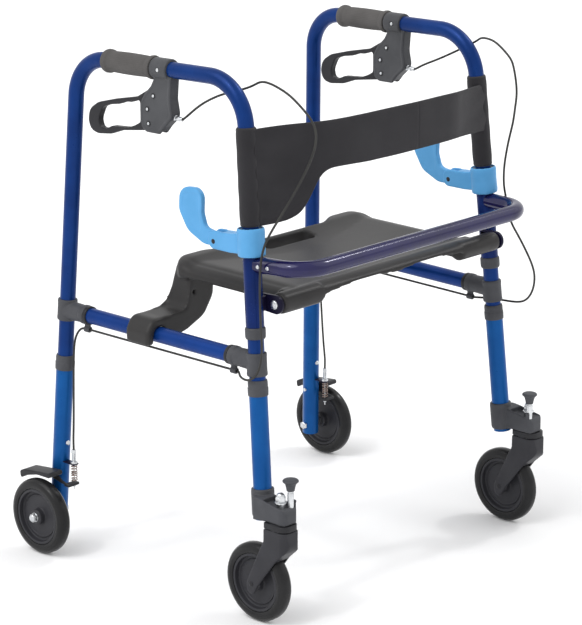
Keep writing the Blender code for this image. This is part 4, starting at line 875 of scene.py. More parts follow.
@dataclass
class BrakeHousing:
    """Brake housing clamped under the top tube, with its screws and ferrule."""

    side: Side
    half: float = 0.0102
    slot_half: float = 0.0062
    outline_corners: tuple[Corner, ...] = (
        (-0.0438, -0.008, 0.0), (-0.0405, -0.044, 0.03), (-0.0450, -0.066, 0.012), (-0.0430, -0.0745, 0.008),
        (-0.0273, -0.0885, 0.010), (-0.0165, -0.1012, 0.006), (0.0130, -0.1018, 0.010),
        (0.0238, -0.0955, 0.010), (0.0270, -0.068, 0.02), (0.0240, -0.0530, 0.02), (0.0155, -0.0405, 0.012),
        (0.0020, -0.0275, 0.012), (-0.0045, -0.0160, 0.008), (-0.004, -0.008, 0.0))
    screws: tuple[Corner, ...] = ((-0.0042, -0.0424), (0.0095, -0.0649), (0.0074, -0.0872))
    clamp: tuple[float, float] = (-0.0365, -0.0008)
    clamp_screw: tuple[float, float, float] = (0.0158, -0.0205, 0.001)

    def build(self) -> None:
        """Join the cheeks and clamp, cut the lever's slot, then add screws, pin and ferrule."""
        s, datum = self.side, under_grip(self.side)
        line = outline([(datum[1] + a, datum[2] + b, r) for a, b, r in self.outline_corners])
        shell = plate(line, datum[0] - self.half, datum[0] + self.half, 0.0028)
        front, rear = self.clamp
        ring = turned_from(top_axis(s, datum[1] + front), top_axis(s, datum[1]) - top_axis(s, datum[1] - 0.1),
                           blunt(0.0168, 0.0, rear - front, (0.002, 0.002), 5))
        ear = box((datum[0] - self.half, datum[1] + front, datum[2] - 0.028),
                  (datum[0] + self.half, datum[1] - 0.0045, datum[2] - 0.004), 0.002)
        slot = box((datum[0] - self.slot_half, datum[1] - 0.020, datum[2] - 0.13),
                   (datum[0] + self.slot_half, datum[1] + 0.05, datum[2] - 0.0285))
        inset_line = inset(line, np.array([0.0048]))[0]
        rims = [plate(inset_line, datum[0] + k * (self.half - 0.0007), datum[0] + k * (self.half + 0.003),
                      1e-5)
                for k in (-1, 1)]
        side_x, side_y, side_z = self.clamp_screw
        sinks = [bar(datum + np.array([k * (side_x - 0.0008), side_y, side_z]), X_AXIS * k, 0.0042, 0.0,
                     0.01, 32) for k in (-1, 1)]
        mesh = moulded(s.node("brake_housing_form"), [shell, ring, ear], [slot, *rims, *sinks], 0.0008, 5)
        body = s.node("frame")
        put_out(mesh, Finishes.HOUSING, body, [s.node("brake_housing")])
        out = X_AXIS * s.value
        places = [np.array([k * self.half, y, z]) for y, z in self.screws for k in (-1, 1)]
        heads = [bolt_head(datum + at, X_AXIS * np.sign(at[0]), 0.0024, 0.0010) for at in places]
        heads += [bolt_head(datum + np.array([k * side_x, side_y, side_z]), X_AXIS * k, 0.0028, 0.0012)
                  for k in (-1, 1)]
        # Black discs under the screw heads make a dark ring round each screw: painted shade of the screws'
        # recesses
        painted_screw_shade = [turned_from(datum + at - X_AXIS * np.sign(at[0]) * 0.002, X_AXIS * np.sign(at[0]),
                             blunt(0.0042, 0, 0.0023, (0.0, 0.0003)), 32)
                 for at in places]
        fitted(painted_screw_shade, s.node("brake_housing_painted_screw_shade"), Finishes.BLACK, body)
        pin_at = datum + np.array([0.0, -0.003, -0.0416])
        pin = bar(pin_at - out * 0.0085, out, PIN_R, 0.0, 0.0170, 24)
        start = datum + np.array([0.0, -0.034, -CABLE_START_DROP])
        ferrule = turned_from(start, -Y_AXIS, outline([(0.0, 0.0), (0.0042, 0.0), (0.0042, 0.0105, 0.0005),
                                                       (0.0033, 0.0110, 0.0004), (0.0033, 0.0130, 0.0004),
                                                       (0.0040, 0.0135, 0.0004), (0.0040, 0.0185, 0.0006),
                                                       (0.0033, 0.0195, 0.0004), (0.0033, 0.0250, 0.0008),
                                                       (0.0, 0.0250)], 4, False), 32)
        fitted([*heads, pin, ferrule], s.node("brake_housing_hardware"), Finishes.STEEL, body)


@dataclass
class BrakeLever:
    """Closed loop lever with two finger rests inside."""

    side: Side
    half: float = 0.0059
    outer_corners: tuple[Corner, ...] = (
        (-0.014, -0.05, 0.008), (-0.013, -0.0315, 0.009), (0.006, -0.0315, 0.008), (0.0388, -0.0502, 0.03),
        (0.0899, -0.0612, 0.06), (0.1285, -0.0716, 0.03), (0.1480, -0.0845, 0.022), (0.1515, -0.1045, 0.022),
        (0.1445, -0.1190, 0.016), (0.1287, -0.1225, 0.02), (0.0996, -0.1188, 0.03), (0.0726, -0.1090, 0.03),
        (0.0236, -0.1015, 0.02), (0.008, -0.0985, 0.012), (-0.006, -0.08, 0.012))
    opening_corners: tuple[Corner, ...] = (
        (0.0300, -0.0535, 0.004), (0.0487, -0.0603, 0.02), (0.0619, -0.0616, 0.012), (0.0771, -0.0674, 0.012),
        (0.0981, -0.0710, 0.02), (0.1165, -0.0775, 0.014), (0.1265, -0.0980, 0.016), (0.1225, -0.1125, 0.008),
        (0.1090, -0.1110, 0.012), (0.0960, -0.1050, 0.012), (0.0590, -0.1020, 0.02), (0.0430, -0.0960, 0.010),
        (0.0300, -0.0890, 0.006))

    def build(self) -> None:
        """Cut the opening out of the loop's plate and round everything off."""
        s, datum = self.side, under_grip(self.side)
        outer = outline([(datum[1] + a, datum[2] + b, r) for a, b, r in self.outer_corners], 10)
        inner = outline([(datum[1] + a, datum[2] + b, r) for a, b, r in self.opening_corners], 10)
        loop = plate(outer, datum[0] - self.half, datum[0] + self.half, 0.0028)
        gap = plate(inner, datum[0] - 0.02, datum[0] + 0.02, 1e-5)
        mesh = moulded(s.node("brake_lever_form"), [loop], [gap], 0.0009, 10)
        put_out(mesh, Finishes.BLACK, s.node("lever"), [s.node("brake_lever")])


@dataclass
class ReleaseCollar:
    """Light blue collar on the front upright with the paddle's forked arm."""

    side: Side
    ring_r: float = 0.0215
    low: float = 0.571
    high: float = COLLAR_TOP_Z

    def build(self) -> None:
        """Turn a waisted ring, join the arm's cheeks and web, and bore it."""
        s, pin = self.side, paddle_pin(self.side)
        r, low, high = self.ring_r, self.low, self.high
        ring = on_upright(front_axis, s,
                          outline([(0.0, low), (r - 0.0006, low, 0.0020), (r, low + 0.006, 0.006),
                                   (r - 0.0007, (low + high) / 2, 0.03), (r, high - 0.006, 0.006),
                                   (r - 0.0008, high, 0.0022), (0.0, high)], 6, False))
        arm = outline([(pin[1] + a, pin[2] + b, k) for a, b, k in (
            (-0.062, -0.0095, 0.0), (-0.062, 0.0240, 0.0), (-0.035, 0.0180, 0.02), (-0.012, 0.0165, 0.003),
            (-0.010, 0.0172, 0.003), (0.012, 0.0155, 0.012), (0.012, -0.0125, 0.012),
            (-0.035, -0.0120, 0.02))])
        body = plate(arm, pin[0] - 0.011, pin[0] + 0.011, 0.0024)
        slot = box((pin[0] - 0.0053, pin[1] - 0.017, pin[2] - 0.03),
                   (pin[0] + 0.0053, pin[1] + 0.03, pin[2] + 0.05))
        bore = on_upright(front_axis, s,
                          np.array([[TUBE_R + 0.0012, low - 0.02], [TUBE_R + 0.0012, high + 0.02]]))
        rim = on_upright(front_axis, s, np.array([[r - 0.0030, high - 0.0035], [r - 0.0030, high + 0.01]]))
        mesh = moulded(s.node("release_collar_form"), [ring, body], [slot, bore, rim], 0.0008, 6)
        put_out(mesh, Finishes.LIGHT_BLUE, s.node("frame"), [s.node("release_collar")])
        liner = on_upright(front_axis, s, outline([(TUBE_R + 0.0002, low + 0.003), (r - 0.0042, low + 0.003),
                                                   (r - 0.0042, high - 0.0022, 0.001),
                                                   (TUBE_R + 0.0002, high - 0.0022)], 4), 64, True)
        fitted(liner, s.node("release_collar_liner"), Finishes.BLACK, s.node("frame"))
        ends = [bolt_head(pin + X_AXIS * k * 0.0102, X_AXIS * k, PIN_R + 0.0012, 0.0014) for k in (-1, 1)]
        shank = bar(pin - X_AXIS * 0.0105, X_AXIS, PIN_R, 0.0, 0.021, 24)
        fitted([*ends, shank], s.node("release_pin"), Finishes.BLACK, s.node("frame"))


@dataclass
class ReleasePaddle:
    """Curved thumb paddle with a raised front rim, pinned in the collar's fork."""

    side: Side
    half: float = 0.0046
    corners: tuple[Corner, ...] = (
        (-0.011, -0.0095, 0.009), (0.028, -0.0105, 0.03), (0.063, 0.005, 0.03), (0.082, 0.035, 0.02),
        (0.080, 0.072, 0.022), (0.030, 0.076, 0.022), (0.032, 0.037, 0.02), (0.025, 0.016, 0.012),
        (-0.011, 0.0095, 0.008))

    def build(self) -> None:
        """Thin the blade inside a rim that follows its edge."""
        s, pin = self.side, paddle_pin(self.side)
        line = outline([(pin[1] + a, pin[2] + b, r) for a, b, r in self.corners], 10)
        blade = plate(line, pin[0] - self.half, pin[0] + self.half, 0.0018)
        field_line = outline([(pin[1] + a, pin[2] + b, r) for a, b, r in (
            (0.036, 0.004, 0.008), (0.058, 0.012, 0.02), (0.0755, 0.037, 0.018), (0.0715, 0.0635, 0.010),
            (0.0365, 0.0675, 0.006), (0.0375, 0.037, 0.02), (0.0335, 0.018, 0.008))])
        fields = [plate(field_line, pin[0] + k * (self.half - 0.0005), pin[0] + k * (self.half + 0.003), 1e-5)
                  for k in (-1, 1)]
        mesh = moulded(s.node("release_paddle_form"), [blade], fields, 0.0008, 5)
        put_out(mesh, Finishes.LIGHT_BLUE, s.node("paddle"), [s.node("release_paddle")])


def leg_bushing(side: Side, line, top: float, name: str, body: str, node: str) -> None:
    """Two-step bushing at the top of a leg, closing from the leg's radius to the tube's."""
    low = top - 0.022
    profile = outline([(LEG_R + 0.0001, low), (0.0157, low, 0.0008), (0.0160, low + 0.006, 0.002),
                       (0.0160, low + 0.0125, 0.0008), (0.0154, low + 0.0135, 0.0006),
                       (0.0154, top - 0.001, 0.002), (0.0146, top + 0.0025, 0.0012),
                       (TUBE_R + 0.0002, top + 0.0025), (TUBE_R + 0.0002, top - 0.002),
                       (LEG_R + 0.0001, top - 0.002)], 5)
    fitted(on_upright(line, side, profile, 72, True), name, Finishes.CHARCOAL, body, [node])


@dataclass
class FrontLeg:
    """Telescopic front leg with its bushing and its caster bracket."""

    side: Side
    low: float = 0.1635
    top: float = 0.3785
    wall: float = 0.0013

    def build(self) -> None:
        """Turn the leg as a pipe; mould the bracket from socket, block and plunger barrel."""
        s, body = self.side, self.side.node("front_leg")
        pipe = outline([(LEG_R - self.wall, self.low), (LEG_R, self.low), (LEG_R, self.top - 0.002),
                        (LEG_R - self.wall, self.top - 0.002)], 3)
        fitted(on_upright(front_axis, s, pipe, 72, True), s.node("front_leg_form"), Finishes.LOWER_LEG, body,
               [s.node("front_leg")])
        leg_bushing(s, front_axis, self.top, s.node("front_leg_bushing_form"), body,
                    s.node("front_leg_bushing"))
        self.bracket(body)

    def bracket(self, body: str) -> None:
        """Join socket and forward block, cut the trough between its cheeks, and add the plunger's body."""
        s, foot = self.side, front_axis(self.side, SWIVEL_Z)
        socket = on_upright(front_axis, s,
                            outline([(0.0, 0.1675), (0.0172, 0.1675, 0.003), (0.018, 0.173, 0.01),
                                     (0.018, 0.2075, 0.001), (0.0176, 0.212, 0.0012),
                                     (0.0, 0.212)], 5, False))
        line = outline([(foot[1] + a, foot[2] + b, r) for a, b, r in (
            (0.0, 0.0080, 0.0), (0.0, 0.0460, 0.0), (-0.0170, 0.0445, 0.010), (-0.0610, 0.0372, 0.006),
            (-0.0660, 0.0310, 0.010), (-0.0675, 0.0115, 0.003), (-0.030, 0.0115, 0.006))])
        inner, outer = foot[0] - s.value * 0.0087, foot[0] + s.value * 0.0258
        block = plate(line, inner, outer, 0.0028)
        trough = box((inner + s.value * 0.0032, foot[1] - 0.0635, 0.1962),
                     (outer - s.value * 0.0032, foot[1] - 0.0190, 0.23))
        lug = box((inner, foot[1] - 0.0620, 0.190), (inner + s.value * 0.0067, foot[1] - 0.0540, 0.2075),
                  0.0022)
        corners = [corner_cutter((x, foot[1] - 0.0675), (k, 1.0), 0.013, (0.16, 0.2035))
                   for x, k in ((inner, s.value), (outer, -s.value))]
        mesh = moulded(s.node("caster_bracket_form"), [socket, block, lug], [trough, *corners], 0.0008, 6)
        put_out(mesh, Finishes.CHARCOAL, body, [s.node("caster_bracket")])
        at = plunger_point(s, 0.0)
        barrel = turned_from(at, Z_AXIS, blunt(0.0050, 0.190, 0.2195, (0.0, 0.0006)), 32)
        fitted(barrel, s.node("plunger_barrel"), Finishes.STEEL, body)


@dataclass
class LockKnob:
    """Mushroom knob on the plunger that locks a caster straight."""

    side: Side

    def build(self) -> None:
        """Turn stem and knob; the neck is hollowed by a large arc under a flat cap."""
        s, body = self.side, self.side.node("knob")
        foot = plunger_point(s, 0.0)
        stem = bar(foot, Z_AXIS, 0.0035, 0.1615, 0.2230, 24)
        fitted(stem, s.node("lock_plunger"), Finishes.STEEL, body)
        knob = turned_from(foot, Z_AXIS, outline([
            (0.0, 0.2222), (0.0062, 0.2222, 0.0012), (0.0072, 0.2285, 0.010), (0.0090, 0.2345, 0.008),
            (0.0125, 0.2372, 0.0014), (0.0125, 0.2392, 0.0014), (0.0105, 0.2408, 0.003), (0.0, 0.2412)], 6,
                                                 False), 56)
        fitted(knob, s.node("lock_knob_form"), Finishes.CHARCOAL, body, [s.node("lock_knob")])


@dataclass
class CasterFork:
    """Moulded fork that trails from its swivel pin to the wheel's axle, under a cover plate."""

    side: Side
    half: float = 0.0178
    cheek: float = 0.0042
    crown_r: float = 0.013
    crown_z: float = 0.1612
    cover_z: tuple[float, float] = (0.1624, 0.1714)

    def build(self) -> None:
        """Cut the wheel's well from a full-width plate, then add race, cover, balls, kingpin and axle."""
        s, swivel, centre = self.side, swivel_point(self.side), caster_centre(self.side)
        body, top, hub = s.node("fork"), self.crown_z, WHEEL_R
        line = outline([(swivel[1] + a, b, r) for a, b, r in (
            (0.0212, top, 0.002), (-0.0235, top, 0.002), (-0.0272, 0.134, 0.02), (-0.0033, 0.1120, 0.02),
            (0.0353, hub - 0.0025, 0.02), (0.0430, hub - 0.0180, 0.010), (0.0545, hub - 0.0165, 0.010),
            (0.0592, hub - 0.0010, 0.02), (0.0276, 0.1290, 0.03), (0.0215, 0.1400, 0.010))], 10)
        whole = plate(line, centre[0] - self.half, centre[0] + self.half, 0.0022)
        room = self.half - self.cheek
        well = bar(centre - X_AXIS * room, X_AXIS, 0.0665, 0.0, 2 * room, 96)
        below = np.array([swivel[0], swivel[1], 0.0])
        front, rear = swivel[1] - 0.0262, swivel[1] + 0.0212
        corners = [corner_cutter((centre[0] + k * self.half, front), (-k, 1.0), self.crown_r, (0.114, 0.17))
                   for k in (-1, 1)]
        mesh = moulded(s.node("caster_fork_form"), [whole], [well, *corners], 0.0009, 6)
        put_out(mesh, Finishes.HUB, body, [s.node("caster_fork")])
        race = turned_from(below, Z_AXIS, blunt(0.0165, 0.154, 0.1722, (0.0, 0.0004)), 64)
        left, right = centre[0] - self.half, centre[0] + self.half
        cover = plate(outline([(left, front + 0.002, self.crown_r), (right, front + 0.002, self.crown_r),
                               (right, rear, 0.004), (left, rear, 0.004)]), *self.cover_z, 0.0010, Plane.PLAN)
        fitted([race, cover], s.node("swivel_race"), Finishes.BLACK, body)
        angle = np.radians([-150.0, -106.0, -40.0, 40.0, 106.0, 150.0])
        rim = below + np.stack([0.0158 * np.cos(angle), 0.0158 * np.sin(angle), np.full(6, 0.1632)], -1)
        arc = np.linspace(0, np.pi, 9)
        ball = np.stack([0.0026 * np.sin(arc), -0.0026 * np.cos(arc)], -1)
        balls = [turned_from(at, Z_AXIS, ball, 16) for at in rim]
        kingpin = turned_from(below, Z_AXIS, outline([(0, 0.152), (0.005, 0.152), (0.005, 0.1962),
                                                      (0.0070, 0.1964), (0.0070, 0.2034, 0.0006),
                                                      (0.0092, 0.2036), (0.0092, 0.2050, 0.0003),
                                                      (0, 0.2050)], 4, False), 40)
        nut = acorn_nut(below + Z_AXIS * 0.2050, Z_AXIS, 0.0082, 0.0135)
        fitted([*balls, kingpin, *nut], s.node("swivel_hardware"), Finishes.STEEL, body)
        axle = [bar(centre - X_AXIS * 0.0185, X_AXIS, AXLE_R, 0.0, 0.037, 32)]
        for k in (-1, 1):
            axle += [bolt_head(centre + X_AXIS * k * 0.0176, X_AXIS * k, 0.0042, 0.0018)]
        fitted(axle, s.node("caster_axle_form"), Finishes.BLACK, body, [s.node("caster_axle")])


@dataclass
class Wheel:
    """Wheel of hub and tyre; both are turned, the hub as a bowl round its boss on each side."""

    side: Side
    name: str
    centre: Array
    hub_faces: tuple[Corner, ...] = (
        (0.0043, 0.0130), (0.0108, 0.0130, 0.0012), (0.0126, 0.0112, 0.0015), (0.0132, 0.0022, 0.0030),
        (0.0345, 0.0020, 0.0015), (0.0357, 0.0036, 0.0010), (0.0370, 0.0020, 0.0012),
        (0.0414, 0.0022, 0.0030), (0.0424, 0.0102, 0.0008), (0.0456, 0.0104, 0.0006), (0.0467, 0.0098))
    tyre_faces: tuple[Corner, ...] = (
        (0.0469, 0.0096), (0.0480, 0.0114, 0.0012), (0.0530, 0.0120, 0.0080), (0.0594, 0.0104, 0.0080),
        (0.0624, 0.0060, 0.0070), (0.0635, 0.0, 0.0500))

    def build(self) -> None:
        """Turn half of each profile, mirror it and close it to a ring."""
        s = self.side
        body = s.node(f"{self.name}_wheel")
        face = outline(self.hub_faces, 6, closed=False)
        hub = np.concatenate([face, (face * [1, -1])[::-1]])
        fitted(turned_from(self.centre, X_AXIS, hub, 112, True), s.node(f"{self.name}_hub_form"),
               Finishes.HUB, body, [s.node(f"{self.name}_hub")])
        half = outline([*self.tyre_faces[:-1], (0.0632, 0.0035, 0.004)], 7, closed=False)
        tyre = np.concatenate([half, (half * [1, -1])[::-1]])
        fitted(turned_from(self.centre, X_AXIS, tyre, 128, True), s.node(f"{self.name}_tyre_form"),
               Finishes.TYRE, body, [s.node(f"{self.name}_tyre")])


@dataclass
class RearLeg:
    """Telescopic rear leg with bushing, cable stop and axle."""

    side: Side
    low: float = 0.048
    top: float = 0.3305
    wall: float = 0.0013
    hub_reach: float = 0.0133

    def build(self) -> None:
        """Turn the pipe and bushing, and add the stop's tab, its threaded adjuster and the axle."""
        s, body = self.side, self.side.node("rear_leg")
        pipe = outline([(LEG_R - self.wall, self.low), (LEG_R, self.low, 0.0004), (LEG_R, self.top - 0.002),
                        (LEG_R - self.wall, self.top - 0.002)], 3)
        fitted(on_upright(rear_axis, s, pipe, 72, True), s.node("rear_leg_form"), Finishes.LOWER_LEG, body,
               [s.node("rear_leg")])
        plug = on_upright(rear_axis, s, blunt(0.0128, self.low - 0.0004, self.low + 0.006, (0.001, 0.0)))
        fitted(plug, s.node("rear_leg_plug"), Finishes.BLACK, body)
        leg_bushing(s, rear_axis, self.top, s.node("rear_leg_bushing_form"), body, s.node("rear_leg_bushing"))
        stop = cable_stop(s, CABLE_STOP_Z)
        tab_line = outline([(stop[0] - 0.006, stop[1] - 0.006, 0.003),
                            (stop[0] + 0.006, stop[1] - 0.006, 0.003), (stop[0] + 0.006, stop[1] + 0.030),
                            (stop[0] - 0.006, stop[1] + 0.030)])
        tab = plate(tab_line, CABLE_STOP_Z, 0.1535, 0.0004, Plane.PLAN)
        fitted(tab, s.node("cable_stop_tab"), Finishes.BRACKET, body)
        along = np.linspace(0.1572, 0.1700, 80)
        thread = np.stack([0.0031 + 0.00035 * np.cos(2 * np.pi * along / 0.0012), along], -1)
        low_part = outline([(0.0, 0.1530), (0.0058, 0.1530, 0.0004), (0.0058, 0.1565, 0.0006),
                            (0.0031, 0.1570)], 4,
                           False)
        high_part = outline([(0.0031, 0.1702), (0.0037, 0.1705, 0.0004), (0.0037, 0.1768, 0.0006),
                             (0.0, 0.1768)], 4,
                            False)
        adjuster = turned_from(np.array([stop[0], stop[1], 0.0]), Z_AXIS,
                               np.concatenate([low_part, thread, high_part]), 28)
        fitted(adjuster, s.node("cable_adjuster"), Finishes.STEEL, body)
        self.axle(body)

    def axle(self, body: str) -> None:
        """Axle bolt from the leg's inner side to a nut and cap outside the wheel."""
        s = self.side
        out = X_AXIS * s.value
        centre = axle_point(s) - out * AXLE_OUT
        far = AXLE_OUT + self.hub_reach
        rod = bar(centre - out * 0.0155, out, AXLE_R, 0.0, far + 0.017, 32)
        head = bolt_head(centre - out * 0.0152, -out, 0.0072, 0.0052, 6)
        spacer = turned_from(centre + out * 0.0148, out, blunt(0.0072, 0.0, 0.0088, (0.0, 0.0004)), 40)
        washer = turned_from(centre + out * (far - 0.0002), out, blunt(0.0078, 0, 0.0014, (0.0003, 0.0003)),
                             40)
        nut = acorn_nut(centre + out * (far + 0.0011), out, 0.0078, 0.0076)
        fitted([rod, head, spacer, washer, *nut], s.node("rear_axle_form"), Finishes.STEEL, body,
               [s.node("rear_axle")])


@dataclass
class BrakeArm:
    """Brake arm: spring seat in front of the leg, pad over the tyre behind it."""

    side: Side
    pivot_z: float = 0.133
    pad_past_middle: float = 0.0045
    pad_corners: tuple[Corner, ...] = (
        (0.0445, 0.0555, 0.003), (0.0460, 0.0680, 0.004), (0.0360, 0.0730, 0.010), (0.0010, 0.0770, 0.05),
        (-0.0280, 0.0800, 0.008), (-0.0280, 0.0710, 0.008), (0.0040, 0.0705, 0.03), (0.0300, 0.0635, 0.02))

    def build(self) -> None:
        """Plate of the arm, its folded seat and the pad that bends down behind the tyre's top."""
        s, body = self.side, self.side.node("brake_arm")
        pivot, wheel, seat = rear_axis(s, self.pivot_z), axle_point(s), cable_stop(s, BRAKE_SEAT_Z)
        inner = abs(pivot[0]) + LEG_R + 0.0009
        y, z = seat[1], BRAKE_SEAT_Z
        line = outline([(y - 0.005, z - 0.0035), (y - 0.005, z - 0.0005), (y + 0.012, z + 0.004, 0.006),
                        (pivot[1], self.pivot_z + 0.0065, 0.008), (wheel[1] + 0.006, 0.1385, 0.008),
                        (wheel[1] + 0.024, 0.1360, 0.004), (wheel[1] + 0.022, 0.1310, 0.004),
                        (pivot[1] + 0.008, self.pivot_z - 0.006, 0.006),
                        (pivot[1] - 0.006, self.pivot_z - 0.009, 0.006)])
        arm = plate(line, s.value * inner, s.value * (inner + 0.004), 0.0007)
        foot_line = outline([(seat[0] - s.value * 0.006, y - 0.006, 0.002),
                             (s.value * (inner + 0.0035), y - 0.006, 0.002),
                             (s.value * (inner + 0.0035), y + 0.006, 0.002),
                             (seat[0] - s.value * 0.006, y + 0.006, 0.002)])
        foot = plate(foot_line, z - 0.004, z, 0.0006, Plane.PLAN)
        band = outline([(wheel[1] + a, wheel[2] + b, r) for a, b, r in self.pad_corners])
        pad_out = abs(wheel[0]) + self.pad_past_middle
        pad = plate(band, s.value * (inner + 0.0005), s.value * pad_out, 0.0016)
        fitted([arm, foot, pad], s.node("brake_arm_form"), Finishes.BLACK, body, [s.node("brake_arm")])
        out = X_AXIS * s.value
        start = pivot - out * (LEG_R + 0.003)
        pin = turned_from(start, out, blunt(PIN_R, 0, 0.0358, (0.0006, 0.0004)), 24)
        rivet = bolt_head(pivot + out * (inner + 0.0036 - abs(pivot[0])), out, 0.0048, 0.0020)
        fitted([pin, rivet], s.node("brake_arm_pin"), Finishes.STEEL, body)


@dataclass
class BrakeSpring:
    """Compression spring on the cable's bare end, with the wire and its ball end."""

    side: Side
    coil_r: float = 0.0046
    wire_r: float = 0.0008
    turns: int = 7
    low: float = 0.1229
    high: float = 0.1496

    def build(self) -> None:
        """Carry a circle along a helix whose pitch closes at both ends, on no body; add the wire and its stop
        on the arm.
        """
        s = self.side
        foot = cable_stop(s, 0.0)
        share = np.linspace(0, 1, self.turns * 28)
        ease = share - 0.055 * np.sin(4 * np.pi * share) / 2
        angle = 2 * np.pi * self.turns * share
        path = foot + np.stack([self.coil_r * np.cos(angle), self.coil_r * np.sin(angle),
                                self.low + (self.high - self.low) * ease], -1)
        spring = fitted(carried(path, circle(self.wire_r, 10), Z_AXIS), s.node("brake_spring_form"),
                        Finishes.SPRING, "", [s.node("brake_spring")])
        s.node("rear_leg")
        s.node("brake_arm")
        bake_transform(spring)
        wire = bar(foot, Z_AXIS, 0.0008, 0.1085, 0.1540, 12)
        stop = turned_from(foot, Z_AXIS, blunt(0.0028, 0.1135, 0.1168, (0.0010, 0.0010)), 24)
        fitted([wire, stop], s.node("brake_wire_end"), Finishes.STEEL, s.node("brake_arm"))


@dataclass
class SnapButton:
    """Domed button in the rear leg's front wall."""

    side: Side
    z: float = 0.184
    radius: float = 0.0040

    def build(self) -> None:
        """Turn the button's dome; its shaft reaches into the tube."""
        s = self.side
        inner = rear_axis(s, self.z) - Y_AXIS * (TUBE_R - 0.002)
        shaft = turned_from(inner, -Y_AXIS,
                            outline([(0.0, 0.0), (self.radius, 0.0), (self.radius, 0.0048, 0.0012),
                                     (0.0024, 0.0066, 0.002), (0.0, 0.0067)], 6, False), 32)
        fitted(shaft, s.node("snap_button_form"), Finishes.STEEL, s.node("button"), [s.node("snap_button")])


@dataclass
class BrakeCable:
    """Brake cable in its jacket, clipped under both tees, from the ferrule to the adjuster."""

    side: Side
    inside_corner: tuple[Corner, ...] = (
        (-0.0025, 0.0959, -0.0514), (-0.0125, 0.0628, -0.0327), (-0.0195, 0.0270, -0.0210),
        (-0.0215, 0.0036, -0.0119), (-0.0235, -0.0196, -0.0019), (-0.0255, -0.0609, -0.0124),
        (-0.0285, -0.0883, -0.0300), (-0.0310, -0.1120, -0.0520), (-0.0325, -0.1171, -0.0760),
        (-0.0295, -0.1111, -0.1050))
    over_corner: tuple[Corner, ...] = (
        (0.008, 0.1130, -0.0690), (0.016, 0.0850, -0.0560), (0.0195, 0.0450, -0.0360),
        (0.0185, 0.0100, -0.0180), (0.0125, -0.0060, -0.0095), (0.0070, -0.0240, -0.0070),
        (-0.0010, -0.0500, -0.0095), (-0.0130, -0.0869, -0.0255), (-0.0190, -0.1015, -0.0405),
        (-0.0260, -0.1144, -0.0746), (-0.0275, -0.1127, -0.1036), (-0.0275, -0.1090, -0.1277))
    past_collar: tuple[Corner, ...] = (
        (-0.0289, -0.0798, 0.0835), (-0.0169, -0.0648, 0.0475), (-0.0029, -0.0488, 0.0115),
        (0.0091, -0.0378, -0.0195), (0.0171, -0.0368, -0.0525))
    off_collar: tuple[Corner, ...] = (
        (-0.0330, -0.0820, 0.0690), (-0.0285, -0.0735, 0.0470), (-0.0135, -0.0560, 0.0115),
        (0.0060, -0.0400, -0.0250), (0.0171, -0.0368, -0.0525))
    near_loop: tuple[Corner, ...] = (
        (0.0116, -0.0189, 0.111), (0.0121, -0.0209, 0.061), (0.0141, -0.0249, 0.021),
        (0.0191, -0.0209, -0.01))
    wide_loop: tuple[Corner, ...] = (
        (0.0091, -0.0289, 0.119), (0.0081, -0.0509, 0.092), (0.0081, -0.0759, 0.056),
        (0.0081, -0.0834, 0.031), (0.0111, -0.0749, 0.003), (0.0161, -0.0509, -0.018))
    under_tee: tuple[Corner, ...] = ((0.0216, -0.0029, -0.0248), (0.0165, 0.0191, -0.0248))
    by_leg: tuple[Corner, ...] = (
        (0.0002, -0.0309, 0.380), (0.0005, -0.0218, 0.362), (0.0006, -0.0208, 0.330),
        (0.0010, -0.0240, 0.280), (0.0018, -0.0283, 0.225))

    soften: int = 10

    def beside(self, datum: Array, steps: Sequence[Corner]) -> Array:
        """Points beside a datum, measured outwards, to the rear and up."""
        return datum + np.array(steps) * [self.side.value, 1.0, 1.0]

    def route(self) -> Array:
        """Points that the cable passes, from the ferrule to the adjuster."""
        s = self.side
        start = under_grip(s) - np.array([0.0, CABLE_START_BACK, CABLE_START_DROP])
        front_strap, rear_strap = strap_point(s, True), strap_point(s, False)
        loop = self.near_loop if s is Side.RIGHT else self.wide_loop
        corner = self.inside_corner if s is Side.RIGHT else self.over_corner
        collar = self.past_collar if s is Side.RIGHT else self.off_collar
        leg = np.array(self.by_leg)
        leg_points = rear_axis(s, leg[:, 2]) + np.stack([s.value * leg[:, 0], leg[:, 1], 0 * leg[:, 0]], -1)
        return np.concatenate([
            [start + Y_AXIS * 0.004, start - Y_AXIS * 0.004], self.beside(front_axis(s, FRONT_TOP_Z), corner),
            self.beside(front_axis(s, COLLAR_TOP_Z), collar),
            self.beside(front_axis(s, RAIL_Z), (*loop, *self.under_tee)),
            [front_strap - Y_AXIS * 0.009, front_strap + Y_AXIS * 0.012, (front_strap + rear_strap) / 2,
             rear_strap - Y_AXIS * 0.010, rear_strap + Y_AXIS * 0.008],
            leg_points, [cable_stop(s, 0.1965), cable_stop(s, 0.1815), cable_stop(s, 0.1760)]])

    def curve(self, per_span: int = 16) -> Array:
        """Catmull-Rom curve through the route, softened: each span's cubic passes its two ends with half
        the step between the neighbours as its slope, then a bell-shaped mean runs over the points."""
        points = self.route()
        padded = np.concatenate([[2 * points[0] - points[1]], points, [2 * points[-1] - points[-2]]])
        p0, p1, p2, p3 = (padded[i:len(points) - 1 + i][:, None] for i in range(4))
        t = np.linspace(0, 1, per_span, endpoint=False)[None, :, None]
        spans = 0.5 * (2 * p1 + (p2 - p0) * t + (2 * p0 - 5 * p1 + 4 * p2 - p3) * t ** 2
                       + (3 * p1 - p0 - 3 * p2 + p3) * t ** 3)
        dense = np.concatenate([spans.reshape(-1, 3), points[-1:]])
        bell = np.hanning(2 * self.soften + 3)[1:-1]
        before, after = 2 * dense[0] - dense[self.soften:0:-1], 2 * dense[-1] - dense[-2:-self.soften - 2:-1]
        padded = np.concatenate([before, dense, after])
        return np.stack([np.convolve(line, bell / bell.sum(), "valid") for line in padded.T], -1)

